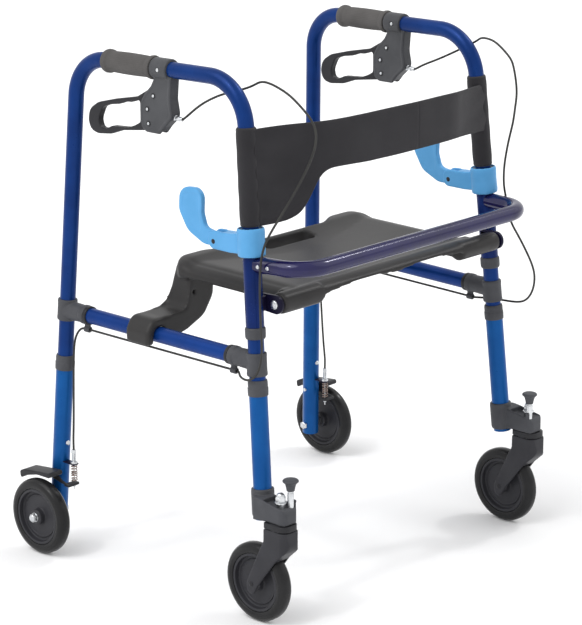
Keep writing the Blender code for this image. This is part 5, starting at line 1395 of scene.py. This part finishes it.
    def build(self) -> None:
        """Carry the jacket along the curve; the cable is attached to no body."""
        s = self.side
        cable = fitted(carried(self.curve(), circle(CABLE_R, 20), X_AXIS), s.node("brake_cable_form"),
                       Finishes.CABLE, "", [s.node("brake_cable")])
        s.node("frame")
        s.node("rear_leg")
        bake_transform(cable)


@dataclass
class FrontBrace:
    """Brace between the side frames: bow, sleeves, sleeve bushings, seat pivots and their brackets."""

    bow_z: float = 0.559
    bow_corner: tuple[float, float] = (0.2606, -0.229)
    bow_bend: float = 0.075
    bow_rise: float = 0.0025
    pivot: tuple[float, float] = (-0.167, 0.499)
    cross_half: float = 0.2562
    stub_end: float = 0.1620
    plate_in: float = 0.2565
    plate_out: float = 0.2623

    def build(self) -> None:
        """Build every piece of the brace."""
        self.bow()
        self.pivot_stubs()
        for side in Side:
            self.sleeve(side)

    def bow(self) -> None:
        """Carry the tube round the bow's two bends; rivets hold each end."""
        x, y = self.bow_corner
        right, left = front_axis(Side.RIGHT, self.bow_z), front_axis(Side.LEFT, self.bow_z)
        middle = self.bow_z + self.bow_rise
        corners = np.array([right, [-x, y, middle], [x, y, middle], left])
        start = right + unit(corners[1] - right) * 0.009
        end = left + unit(corners[2] - left) * 0.009
        corners[0], corners[3] = start, end
        path = eased(corners, np.array([0.0, self.bow_bend, self.bow_bend, 0.0]), 26, closed=False)
        fitted(carried(path, circle(TUBE_R, 72), Z_AXIS), "front_bow_form", Finishes.BOW, "brace",
               ["front_bow"])
        heads = []
        for side, at in ((Side.RIGHT, start), (Side.LEFT, end)):
            along = unit(corners[1 if side is Side.RIGHT else 2] - at)
            out = unit(np.cross(along, Z_AXIS)) * side.value
            out = out if out[0] * side.value > 0 else -out
            heads += [bolt_head(at + along * step + out * (TUBE_R - 0.0006), out, 0.0031, 0.0017)
                      for step in (0.010, 0.028)]
        fitted(heads, "bow_rivets", Finishes.STEEL, "brace")

    def pivot_stubs(self) -> None:
        """Pivot stub into each knuckle of the seat, with a domed bolt head at its outer end."""
        y, z = self.pivot
        stubs = [turned_from(np.array([side.value * self.stub_end, y, z]), X_AXIS * side.value,
                             blunt(TUBE_R, 0, self.cross_half - self.stub_end, (0.0008, 0.0008)), 64)
                 for side in Side]
        fitted(stubs, "lower_cross_tube_form", Finishes.BRACKET, "brace", ["lower_cross_tube"])
        bolts = []
        for side in Side:
            face = np.array([side.value * (self.plate_out + 0.0001), y, z])
            out = X_AXIS * side.value
            bolts += [bolt_head(face, out, 0.0073, 0.0036, 40),
                      bar(face - out * 0.0070, out, 0.004, 0.0, 0.008, 24)]
        fitted(bolts, "pivot_bolts", Finishes.STEEL, "brace")

    def sleeve(self, side: Side) -> None:
        """Sleeve round the front upright, its bushing, and the bracket that holds the seat's pivot."""
        pipe = outline([(TUBE_R + 0.0003, 0.4625), (LEG_R, 0.4625, 0.0004), (LEG_R, 0.5705, 0.0004),
                        (TUBE_R + 0.0003, 0.5705)], 3)
        fitted(on_upright(front_axis, side, pipe, 72, True), side.node("brace_sleeve_form"), Finishes.SLEEVE,
               "brace", [side.node("brace_sleeve")])
        ring = outline([(TUBE_R + 0.0003, 0.4445), (0.0146, 0.4445, 0.0008), (0.0158, 0.4470, 0.002),
                        (0.0160, 0.4520, 0.004), (0.0160, 0.4600, 0.0012), (0.0150, 0.4622, 0.0008),
                        (TUBE_R + 0.0003, 0.4622)], 5)
        fitted(on_upright(front_axis, side, ring, 72, True), side.node("sleeve_bushing_form"),
               Finishes.CHARCOAL, "brace", [side.node("sleeve_bushing")])
        y, z = self.pivot
        line = outline([(y - 0.0155, z + 0.0155, 0.0154), (y - 0.0155, z - 0.0155, 0.0154),
                        (FRONT_Y, z - 0.0130, 0.002), (FRONT_Y, z + 0.0130, 0.002)], 12)
        bracket = plate(line, side.value * self.plate_in, side.value * self.plate_out, 0.0012)
        wing = box((side.value * self.plate_in, -0.1512, z - 0.012),
                   (side.value * 0.2740, -0.1352, z + 0.012), 0.0025)
        fitted([bracket, wing], side.node("pivot_bracket"), Finishes.BRACKET, "brace")


def vertices_of(mesh: bpy.types.Mesh) -> Array:
    """The mesh's vertices, one row each."""
    flat = np.empty(len(mesh.vertices) * 3)
    mesh.vertices.foreach_get("co", flat)
    return flat.reshape(-1, 3)


def keep_cloth(mesh: bpy.types.Mesh, along: Array, up: Array) -> None:
    """Keep on each vertex its distances along the cloth and up it, for the weave."""
    cloth = mesh.attributes.new("cloth", "FLOAT_VECTOR", "POINT")
    cloth.data.foreach_set("vector", np.stack([along, up, 0 * along + 0.0003], -1).ravel())


@dataclass
class Backrest:
    """Woven band between the front uprights, wrapped round each in a sewn sleeve."""

    half: float = 0.0030
    sleeve_r: float = TUBE_R + 0.0031
    sleeve_ends: tuple[float, float] = (0.6165, 0.7655)
    stations: tuple[Corner, ...] = (
        (0.000, -0.1750, 0.6875, 0.7645), (0.060, -0.1745, 0.6880, 0.7645), (0.110, -0.1715, 0.6900, 0.7645),
        (0.138, -0.1680, 0.6900, 0.7645), (0.152, -0.1648, 0.6850, 0.7645), (0.160, -0.1625, 0.6770, 0.7645),
        (0.169, -0.1590, 0.6570, 0.7645), (0.178, -0.1550, 0.6390, 0.7645), (0.190, -0.1505, 0.6255, 0.7645),
        (0.212, -0.1439, 0.6185, 0.7645), (0.237, -0.1387, 0.6170, 0.7645), (0.2668, -0.1332, 0.6170, 0.7645))
    left_edges: tuple[Corner, ...] = (
        (0.6875, 0.7645), (0.6880, 0.7642), (0.6872, 0.7635), (0.6867, 0.7625), (0.6862, 0.7617),
        (0.6857, 0.7610), (0.6848, 0.7600), (0.6838, 0.7589), (0.6824, 0.7573), (0.6805, 0.7553),
        (0.6785, 0.7535), (0.6770, 0.7520))
    hem: float = 0.0065
    seam_at: float = 0.052
    smooth_over: int = 12
    lean_from: float = 0.16
    lean_over: float = 0.09
    lean_z: float = 0.69

    def plan(self, count: int = 420) -> tuple[Array, Array, Array, Array]:
        """The band's centre line, its arc length and its edges at even steps, smoothed between stations."""
        rows = np.array(self.stations)
        left = rows.copy()
        left[:, 2:] = self.left_edges
        right = rows[:0:-1] * [-1, 1, 1, 1]
        table = np.concatenate([right, left])
        x = np.linspace(-table[-1, 0], table[-1, 0], count)
        columns = np.stack([np.interp(x, table[:, 0], table[:, k]) for k in (1, 2, 3)], -1)
        over = self.smooth_over
        window = np.hanning(2 * over + 1)
        kernel = window / window.sum()
        padded = np.pad(columns, ((over, over), (0, 0)), "reflect", reflect_type="odd")
        smooth = np.stack([np.convolve(padded[:, k], kernel, "valid") for k in range(3)], -1)
        line = np.stack([x, smooth[:, 0]], -1)
        arc = np.concatenate([[0.0], np.cumsum(np.linalg.norm(np.diff(line, axis=0), axis=1))])
        return line, arc, smooth[:, 1], smooth[:, 2]

    def build(self) -> None:
        panel = self.panel()
        sleeves = [self.sleeve(side) for side in Side]

    def panel(self) -> bpy.types.Object:
        """Closed band: a flat ring of two faces whose edges are hemmed, with soft pulls in the cloth.

        Across the band, q runs from -1 at the lower edge to 1 at the upper one, and the half thickness
        is half * (1 - q^12)^(1/2). The pulls are waves that fade away from the sleeves, and near those
        the band takes the uprights' lean by a smooth step.
        """
        line, arc, low, high = self.plan()
        q = np.sin(np.linspace(-np.pi / 2, np.pi / 2, 46))
        q = np.concatenate([q, q[-2:0:-1]])
        face = np.concatenate([np.ones(46), -np.ones(44)])
        thick = self.half * np.sqrt(np.clip(1 - np.abs(q) ** 12, 0, 1)) * face
        ahead = unit(np.gradient(line, axis=0))
        out = np.stack([ahead[:, 1], -ahead[:, 0]], -1)
        height = low[:, None] + (high - low)[:, None] * (q + 1) / 2
        rim = np.minimum(height - low[:, None], high[:, None] - height)
        stitch = -0.0004 * np.exp(-((rim - self.hem) / 0.0008) ** 2)
        hem = 0.0003 / (1 + np.exp((rim - self.hem) / 0.0006))
        seam = -0.0006 * np.exp(-((line[:, 0] - self.seam_at) / 0.0012) ** 2)
        end = (line[-1, 0] - np.abs(line[:, 0]))[:, None]
        pull = np.exp(-end / 0.045) * 0.0010 * np.sin(2 * np.pi * (height - self.lean_z) / 0.034 + 26 * end)
        sag = 0.0007 * np.sin(2 * np.pi * arc / 0.145 + 0.6)[:, None] * np.sin(np.pi * (height - 0.66) / 0.13)
        shift = thick + pull + sag + (stitch + hem + seam[:, None]) * face
        plan = line[:, None] + out[:, None] * shift[..., None]
        near = np.clip((np.abs(line[:, :1]) - self.lean_from) / self.lean_over, 0, 1)
        plan[..., 1] += FRONT_RAKE * (height - self.lean_z) * near * near * (3 - 2 * near)
        grid = np.concatenate([plan, height[..., None]], -1)
        mesh = mesh_of(Shell.from_grid(grid), "backrest_panel")
        self.lay_cloth(mesh)
        return put_out(mesh, Finishes.CLOTH, "brace", ["backrest"], 60.0)

    def lay_cloth(self, mesh: bpy.types.Mesh) -> None:
        """Keep on each vertex its distance along the band and up it, for the weave."""
        line, arc, _, _ = self.plan()
        at = vertices_of(mesh)
        along = np.interp(at[:, 0], line[:, 0], arc)
        keep_cloth(mesh, along, at[:, 2])

    def sleeve(self, side: Side) -> bpy.types.Object:
        """Cloth tube round the upright: its wall is closed at the hems, and it wavers a little."""
        low, high = self.sleeve_ends
        heights = np.linspace(low, high, 70)
        outer = self.sleeve_r + 0.0002 * np.sin(2 * np.pi * heights / 0.037)
        rim = np.minimum(heights - low, high - heights)
        outer = outer - 0.0016 * np.exp(-rim / 0.0012) - 0.0003 * np.exp(-((rim - self.hem) / 0.0008) ** 2)
        inner = np.full(6, TUBE_R + 0.0005)
        profile = np.concatenate([np.stack([outer, heights], -1),
                                  np.stack([inner, np.linspace(high, low, 6)], -1)])
        mesh = mesh_of(on_upright(front_axis, side, profile, 72, True), side.node("backrest_sleeve"))
        at = vertices_of(mesh) - CAD_SHIFT
        centre = front_axis(side, at[:, 2])
        round_it = np.arctan2(at[:, 1] - centre[:, 1], np.abs(at[:, 0] - centre[:, 0])) * self.sleeve_r
        keep_cloth(mesh, round_it, at[:, 2])
        return put_out(mesh, Finishes.CLOTH, "brace", (), 60.0)


@dataclass
class Seat:
    """Moulded seat: dished ribbed tray with a rolled nose, two knuckles on its pivots and two hooked arms."""

    half_width: float = 0.2220
    top_z: float = 0.5150
    dish: float = 0.0115
    rim_z: float = 0.4865
    skin: float = 0.0040
    nose_y: float = -0.160
    nose: float = 0.0245
    lip: tuple[Corner, ...] = ((0.0, 0.5005), (0.045, 0.5045), (0.09, 0.5055), (0.13, 0.5020),
                               (0.165, 0.4985), (0.222, 0.4985))
    pivot: tuple[float, float] = (-0.167, 0.499)
    knuckles: tuple[tuple[float, float, float], ...] = ((-0.2540, -0.166, 0.0168), (0.160, 0.2540, 0.0160))
    arm_y: tuple[float, float] = (0.061, 0.114)
    slot: tuple[float, float, float] = (0.057, 0.044, 0.071)
    columns: tuple[float, ...] = (0.0, 0.070, 0.1385)
    rows: tuple[float, ...] = (-0.0995, -0.056, -0.0145, 0.024)
    side_start: float = 0.190
    side_r: float = 0.032
    side_rise: float = 0.6
    roll: tuple[float, float, float] = (0.184, 0.038, 0.018)
    channel: tuple[float, float, float] = (0.2015, 0.0022, 0.0016)
    voxel: float = 0.00225

    def rear(self, x: Array) -> Array:
        """Y of the rear edge: a smooth step from the middle to the lobes, a circle at the corners."""
        lobe = np.clip((np.abs(x) - 0.105) / 0.05, 0, 1)
        smooth = lobe * lobe * (3 - 2 * lobe)
        corner = np.clip((np.abs(x) - self.side_start) / self.side_r, 0, 1)
        return 0.084 + 0.020 * smooth - self.side_r * (1 - np.sqrt(1 - corner ** 2))

    def top(self, x: Array, y: Array) -> Array:
        """Height of the top: dished by the largest of the side, rear and front rises, rolled off outside.

        A shallow channel of bell section runs along each side, 20 mm in from the edge.
        """
        rise = self.side_rise * np.clip(np.abs(x) / 0.192, 0, 1) ** 2
        rise = np.maximum(rise, np.clip(y / 0.08, 0, 1) ** 2)
        rise = np.maximum(rise, np.clip((-0.110 - y) / 0.05, 0, 1) ** 2)
        roll_at, roll_over, roll_depth = self.roll
        edge = np.clip((np.abs(x) - roll_at) / roll_over, 0, 1)
        roll = roll_depth * (1 - np.sqrt(1 - edge ** 2))
        groove_at, groove_wide, groove_depth = self.channel
        channel = groove_depth * np.exp(-((np.abs(x) - groove_at) / groove_wide) ** 2)
        channel = channel * np.clip((0.090 - y) / 0.02, 0, 1)
        return self.top_z - self.dish * (1 - rise) - roll - channel

    def tray(self) -> Shell:
        """Closed skin: nose, top and rolled rear edge, and the same surface one skin further in.

        Over the nose the angle t falls from a quarter turn to 0 while y = nose_y - nose sin t and
        z = lip + (top - lip) cos t.
        """
        corner = self.side_start + self.side_r * np.sin(np.linspace(0, np.pi / 2, 22))
        x = np.concatenate([-corner[::-1], np.linspace(-0.187, 0.187, 90), corner])
        lip = np.interp(np.abs(x), *np.array(self.lip).T)[:, None]
        turn = np.linspace(np.pi / 2, 0, 14)[None, :-1]
        share = np.linspace(0, 1, 56)[None]
        rear = self.rear(x)[:, None]
        y = self.nose_y + share * (rear - self.nose_y)
        top = self.top(x[:, None], y) - 0.003 * np.clip((y - rear) / 0.010 + 1, 0, 1) ** 3
        front = top[:, :1]
        rows = []
        for deep in (0.0, self.skin):
            nose_y = self.nose_y - (self.nose - deep) * np.sin(turn) + 0 * lip
            nose_z = lip + (front - deep - lip) * np.cos(turn)
            across = np.broadcast_to(x[:, None], (len(x), turn.size + share.size))
            rows.append(np.stack([across, np.hstack([nose_y, y]), np.hstack([nose_z, top - deep])], -1))
        return Shell.from_grid(np.concatenate([rows[0], rows[1][:, ::-1]], 1))

    def low_edge(self, y: Array) -> Array:
        """Height of the ribs' lower edges, which rise towards the front."""
        return self.rim_z + 0.002 + 0.010 * np.clip((-0.085 - y) / 0.07, 0, 1) ** 1.5

    def skirt(self) -> Shell:
        """Rim wall that follows the tray's edge from side to side round the rear."""
        edge = self.half_width - 0.0022
        corner = self.side_start + (edge - self.side_start) * np.sin(np.linspace(0, np.pi / 2, 20))
        x = np.concatenate([-corner[::-1], np.linspace(-0.188, 0.188, 110), corner])
        inside = self.rear(x) - 0.0022
        sides = np.linspace(self.nose_y - 0.004, inside[0], 40)
        path = np.concatenate([np.stack([np.full(40, x[0]), sides], -1), np.stack([x, inside], -1)[1:-1],
                               np.stack([np.full(40, x[-1]), sides[::-1]], -1)])
        return wall(path, self.rim_z, self.top(path[:, 0], path[:, 1]) - 0.006, 0.0044)

    def ribs(self) -> list[Shell]:
        """Ribs under the tray on a plain grid, their tops just inside the skin."""
        made = []
        for x in sorted({k * column for column in self.columns for k in (-1, 1)}):
            y = np.linspace(self.nose_y - 0.008, float(self.rear(np.array(x))) - 0.003, 40)
            path = np.stack([np.full(40, x), y], -1)
            made.append(wall(path, self.low_edge(y) + 0.0025, self.top(path[:, 0], y) - 0.002, 0.0036))
        for y in self.rows:
            x = np.linspace(-0.2190, 0.2190, 90)
            path = np.stack([x, np.full(90, y)], -1)
            made.append(wall(path, self.low_edge(path[:, 1]), self.top(x, path[:, 1]) - 0.002, 0.0036))
        return made

    def barrels(self) -> list[Shell]:
        """Short knuckle on each pivot, webbed to the tray behind it."""
        y, z = self.pivot
        made = []
        for low, high, radius in self.knuckles:
            made.append(turned_from(np.array([low, y, z]), X_AXIS,
                                    blunt(radius, 0, high - low, (0.004, 0.004), 6), 72))
            near, far = max(low, -self.half_width) + 0.001, min(high, self.half_width) - 0.001
            made.append(box((near, y, z - 0.0125), (far, y + 0.034, z + 0.0095), 0.003))
        return made

    def arm(self, side: Side) -> Shell:
        """Arm from the rear corner, down and out in an S to a hook over the rail; it narrows upwards."""
        rail = rail_axis(side, float(np.mean(self.arm_y)))
        x, z, wide, r = abs(rail[0]), rail[2], self.half_width, TUBE_R
        line = outline([(wide - 0.042, 0.5090, 0.004), (wide - 0.0060, 0.5085, 0.016),
                        (wide - 0.0035, 0.4640, 0.060), (wide + 0.0020, 0.4370, 0.022),
                        (x - 0.010, z + 0.0265, 0.035), (x + 0.014, z + 0.0275, 0.018),
                        (x + r + 0.0145, z + 0.006, 0.012), (x + r + 0.0135, z - 0.0145, 0.003),
                        (x + r - 0.010, z - 0.0145, 0.0), (x - 0.034, z - 0.011, 0.004),
                        (wide + 0.001, 0.4035, 0.035), (wide - 0.037, 0.420, 0.035),
                        (wide - 0.0575, 0.450, 0.03), (wide - 0.061, 0.505, 0.004)], 10)
        shell = plate(line * [side.value, 1.0], *self.arm_y, 0.0055, Plane.FRONT)
        narrow = 0.30 * np.clip((shell.points[:, 2] - 0.440) / 0.055, 0, 1)
        shell.points[:, 1] -= narrow * (shell.points[:, 1] - self.arm_y[0])
        return shell

    def saddle(self, side: Side) -> Shell:
        """Cutter of the hook's inside: a half circle over the rail, open inwards and down."""
        reach = TUBE_R + 0.0009
        angle = np.radians(np.linspace(0, 135, 28))
        arc = reach * np.stack([np.cos(angle), np.sin(angle)], -1)
        line = np.concatenate([arc, arc[-1:] - 0.0636, [[-0.09, -0.12], [reach, -0.12]]])
        ends = [rail_axis(side, y) for y in (self.arm_y[0] - 0.03, self.arm_y[1] + 0.03)]
        rings = [np.stack([end[0] + side.value * line[:, 0], 0 * line[:, 0] + end[1], end[2] + line[:, 1]],
                          -1)
                 for end in ends]
        return Shell.from_grid(np.stack(rings))

    def build(self) -> None:
        """Mould the seat in one skin and cut the grab slot, the saddles and a hole in each arm."""
        half, near, far = self.slot
        ring = outline([(-half - 0.004, near - 0.004, 0.012), (half + 0.004, near - 0.004, 0.012),
                        (half + 0.004, far + 0.004, 0.012), (-half - 0.004, far + 0.004, 0.012)])
        collar = plate(ring, self.rim_z + 0.001, self.top_z - self.dish + 0.001, 0.001, Plane.PLAN)
        gap = outline([(-half, near, 0.010), (half, near, 0.010), (half, far, 0.010), (-half, far, 0.010)])
        opening = plate(gap, 0.45, 0.55, 1e-5, Plane.PLAN)
        adds = [self.tray(), self.skirt(), *self.ribs(), *self.barrels(), self.arm(Side.RIGHT),
                self.arm(Side.LEFT), collar]
        holes = [bar(np.array([side.value * 0.2083, self.arm_y[0] - 0.01, 0.4636]), Y_AXIS, 0.0033, 0.0,
                     0.019, 24) for side in Side]
        cuts = [opening, self.saddle(Side.RIGHT), self.saddle(Side.LEFT), *holes]
        mesh = moulded("seat_form", adds, cuts, self.voxel, 5)
        put_out(mesh, Finishes.SEAT, "seat", ["seat"])


@dataclass
class Studio:
    """Pale floor, soft light and the photograph's camera."""

    camera_at: tuple[float, float, float] = (-3.060, -2.9436, 1.640)
    right: tuple[float, float, float] = (0.6840, -0.7295, 0.0)
    elevation: float = 15.75
    lens: float = 166.875
    shift: tuple[float, float] = (-0.0510, -0.0579)
    floor_colour: str = "#FBFBFC"
    ambient: float = 0.76
    key: float = 1.25
    key_from: tuple[float, float, float] = (-0.84, 0.24, 1.05)
    rim: float = 0.38
    rim_from: tuple[float, float, float] = (0.75, -0.55, 0.9)
    glint: tuple[float, float] = (0.34, 0.42)
    spreads: tuple[float, float, float] = (50.0, 60.0, 6.0)
    glint_from: tuple[Corner, Corner] = ((-0.80, 0.05, 1.0), (0.66, -0.14, 0.74))

    def build(self) -> None:
        """Set camera, lights, world, floor and colour handling."""
        self.camera()
        key_spread, rim_spread, glint_spread = self.spreads
        self.sun("key_light", self.key, self.key_from, key_spread)
        self.sun("fill_light", self.rim, self.rim_from, rim_spread)
        for side, strength, source in zip(Side, self.glint, self.glint_from):
            self.sun(side.node("glint_light"), strength, source, glint_spread)
        self.world()
        self.floor()
        bpy.context.scene.view_settings.view_transform = "Standard"

    def camera(self) -> None:
        """Camera at the photograph's angle; its optical axis is off the middle by the shift."""
        data = bpy.data.cameras.new("camera")
        data.sensor_fit, data.sensor_width, data.lens = "HORIZONTAL", 36.0, self.lens
        data.shift_x, data.shift_y = self.shift
        data.dof.use_dof = False
        data.clip_start, data.clip_end = 0.1, 60.0
        tilt, right = np.radians(self.elevation), unit(np.array(self.right))
        back = np.array([right[1] * np.cos(tilt), -right[0] * np.cos(tilt), np.sin(tilt)])
        up = np.cross(back, right)
        turn = Matrix(np.stack([right, up, back], 1).tolist()).to_4x4()
        camera = bpy.data.objects.new("camera", data)
        camera.matrix_world = Matrix.Translation(self.camera_at) @ turn
        bpy.context.scene.collection.objects.link(camera)
        bpy.context.scene.camera = camera

    def sun(self, name: str, strength: float, source: tuple[float, float, float], spread: float) -> None:
        """Distant soft lamp that shines from a direction, as wide as spread degrees."""
        data = bpy.data.lights.new(name, "SUN")
        data.energy, data.angle = strength, np.radians(spread)
        lamp = bpy.data.objects.new(name, data)
        back = unit(np.array(source))
        right = unit(np.cross(Z_AXIS, back))
        lamp.matrix_world = Matrix(np.stack([right, np.cross(back, right), back], 1).tolist()).to_4x4()
        bpy.context.scene.collection.objects.link(lamp)

    def world(self) -> None:
        """Even soft light, seen as white by the camera, by gloss and through glass."""
        world = bpy.data.worlds.new("studio")
        world.use_nodes = True
        tree = world.node_tree
        tree.nodes.clear()
        ray = put(tree, "LightPath")
        seen = put(tree, "Math", {"operation": "MAXIMUM"}, {0: ray.outputs["Is Camera Ray"],
                                                            1: ray.outputs["Is Glossy Ray"]})
        seen = put(tree, "Math", {"operation": "MAXIMUM"}, {0: seen.outputs[0],
                                                            1: ray.outputs["Is Transmission Ray"]})
        soft = put(tree, "Background", {"Color": (1, 1, 1, 1), "Strength": self.ambient})
        white = put(tree, "Background", {"Color": (1, 1, 1, 1), "Strength": 1.0})
        mixed = put(tree, "MixShader", {}, {0: seen.outputs[0], 1: soft.outputs[0], 2: white.outputs[0]})
        put(tree, "OutputWorld", {}, {"Surface": mixed.outputs[0]})
        bpy.context.scene.world = world

    def floor(self) -> None:
        """Large matt painted floor whose brightness drifts hardly visibly."""
        reach = np.linspace(-14, 14, 3)
        x, y = np.meshgrid(reach, reach, indexing="ij")
        index = np.arange(9).reshape(3, 3)
        quads = np.stack([index[:-1, :-1], index[1:, :-1], index[1:, 1:], index[:-1, 1:]], -1).reshape(-1, 4)
        mesh = bpy.data.meshes.new("floor")
        mesh.from_pydata(np.stack([x, y, 0 * x - 0.0002], -1).reshape(-1, 3).tolist(), [], quads.tolist())
        floor = bpy.data.objects.new("floor", mesh)
        material = bpy.data.materials.new("painted_floor")
        material.use_nodes = True
        tree = material.node_tree
        shader = tree.nodes["Principled BSDF"]
        place = put(tree, "TexCoord").outputs["Object"]
        drift = put(tree, "TexNoise", {"Scale": 1.5, "Detail": 2.0}, {"Vector": place})
        tone = put(tree, "Mix", {"data_type": "RGBA", 6: linear(self.floor_colour), 7: linear("#FDFDFD")},
                   {0: drift.outputs[0]})
        shader.inputs["Roughness"].default_value = 0.9
        shader.inputs["Specular IOR Level"].default_value = 0.0
        tree.links.new(tone.outputs[2], shader.inputs["Base Color"])
        mesh.materials.append(material)
        bpy.context.scene.collection.objects.link(floor)


def main() -> None:
    logging.basicConfig(level=logging.INFO, format="%(name)s %(message)s")
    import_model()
    Studio().build()
    for side in Side:
        BrakeCable(side).build()
    FrontBrace().build()
    Backrest().build()
    Seat().build()
    for side in Side:
        parts = (SideTubes(side), Tee(side, True), Tee(side, False), Grip(side), BrakeHousing(side),
                 BrakeLever(side), ReleaseCollar(side), ReleasePaddle(side), FrontLeg(side), LockKnob(side),
                 CasterFork(side), Wheel(side, "caster", caster_centre(side)), RearLeg(side), BrakeArm(side),
                 BrakeSpring(side), SnapButton(side), Wheel(side, "rear", axle_point(side)))
        for part in parts:
            part.build()


if __name__ == "__main__":
    main()
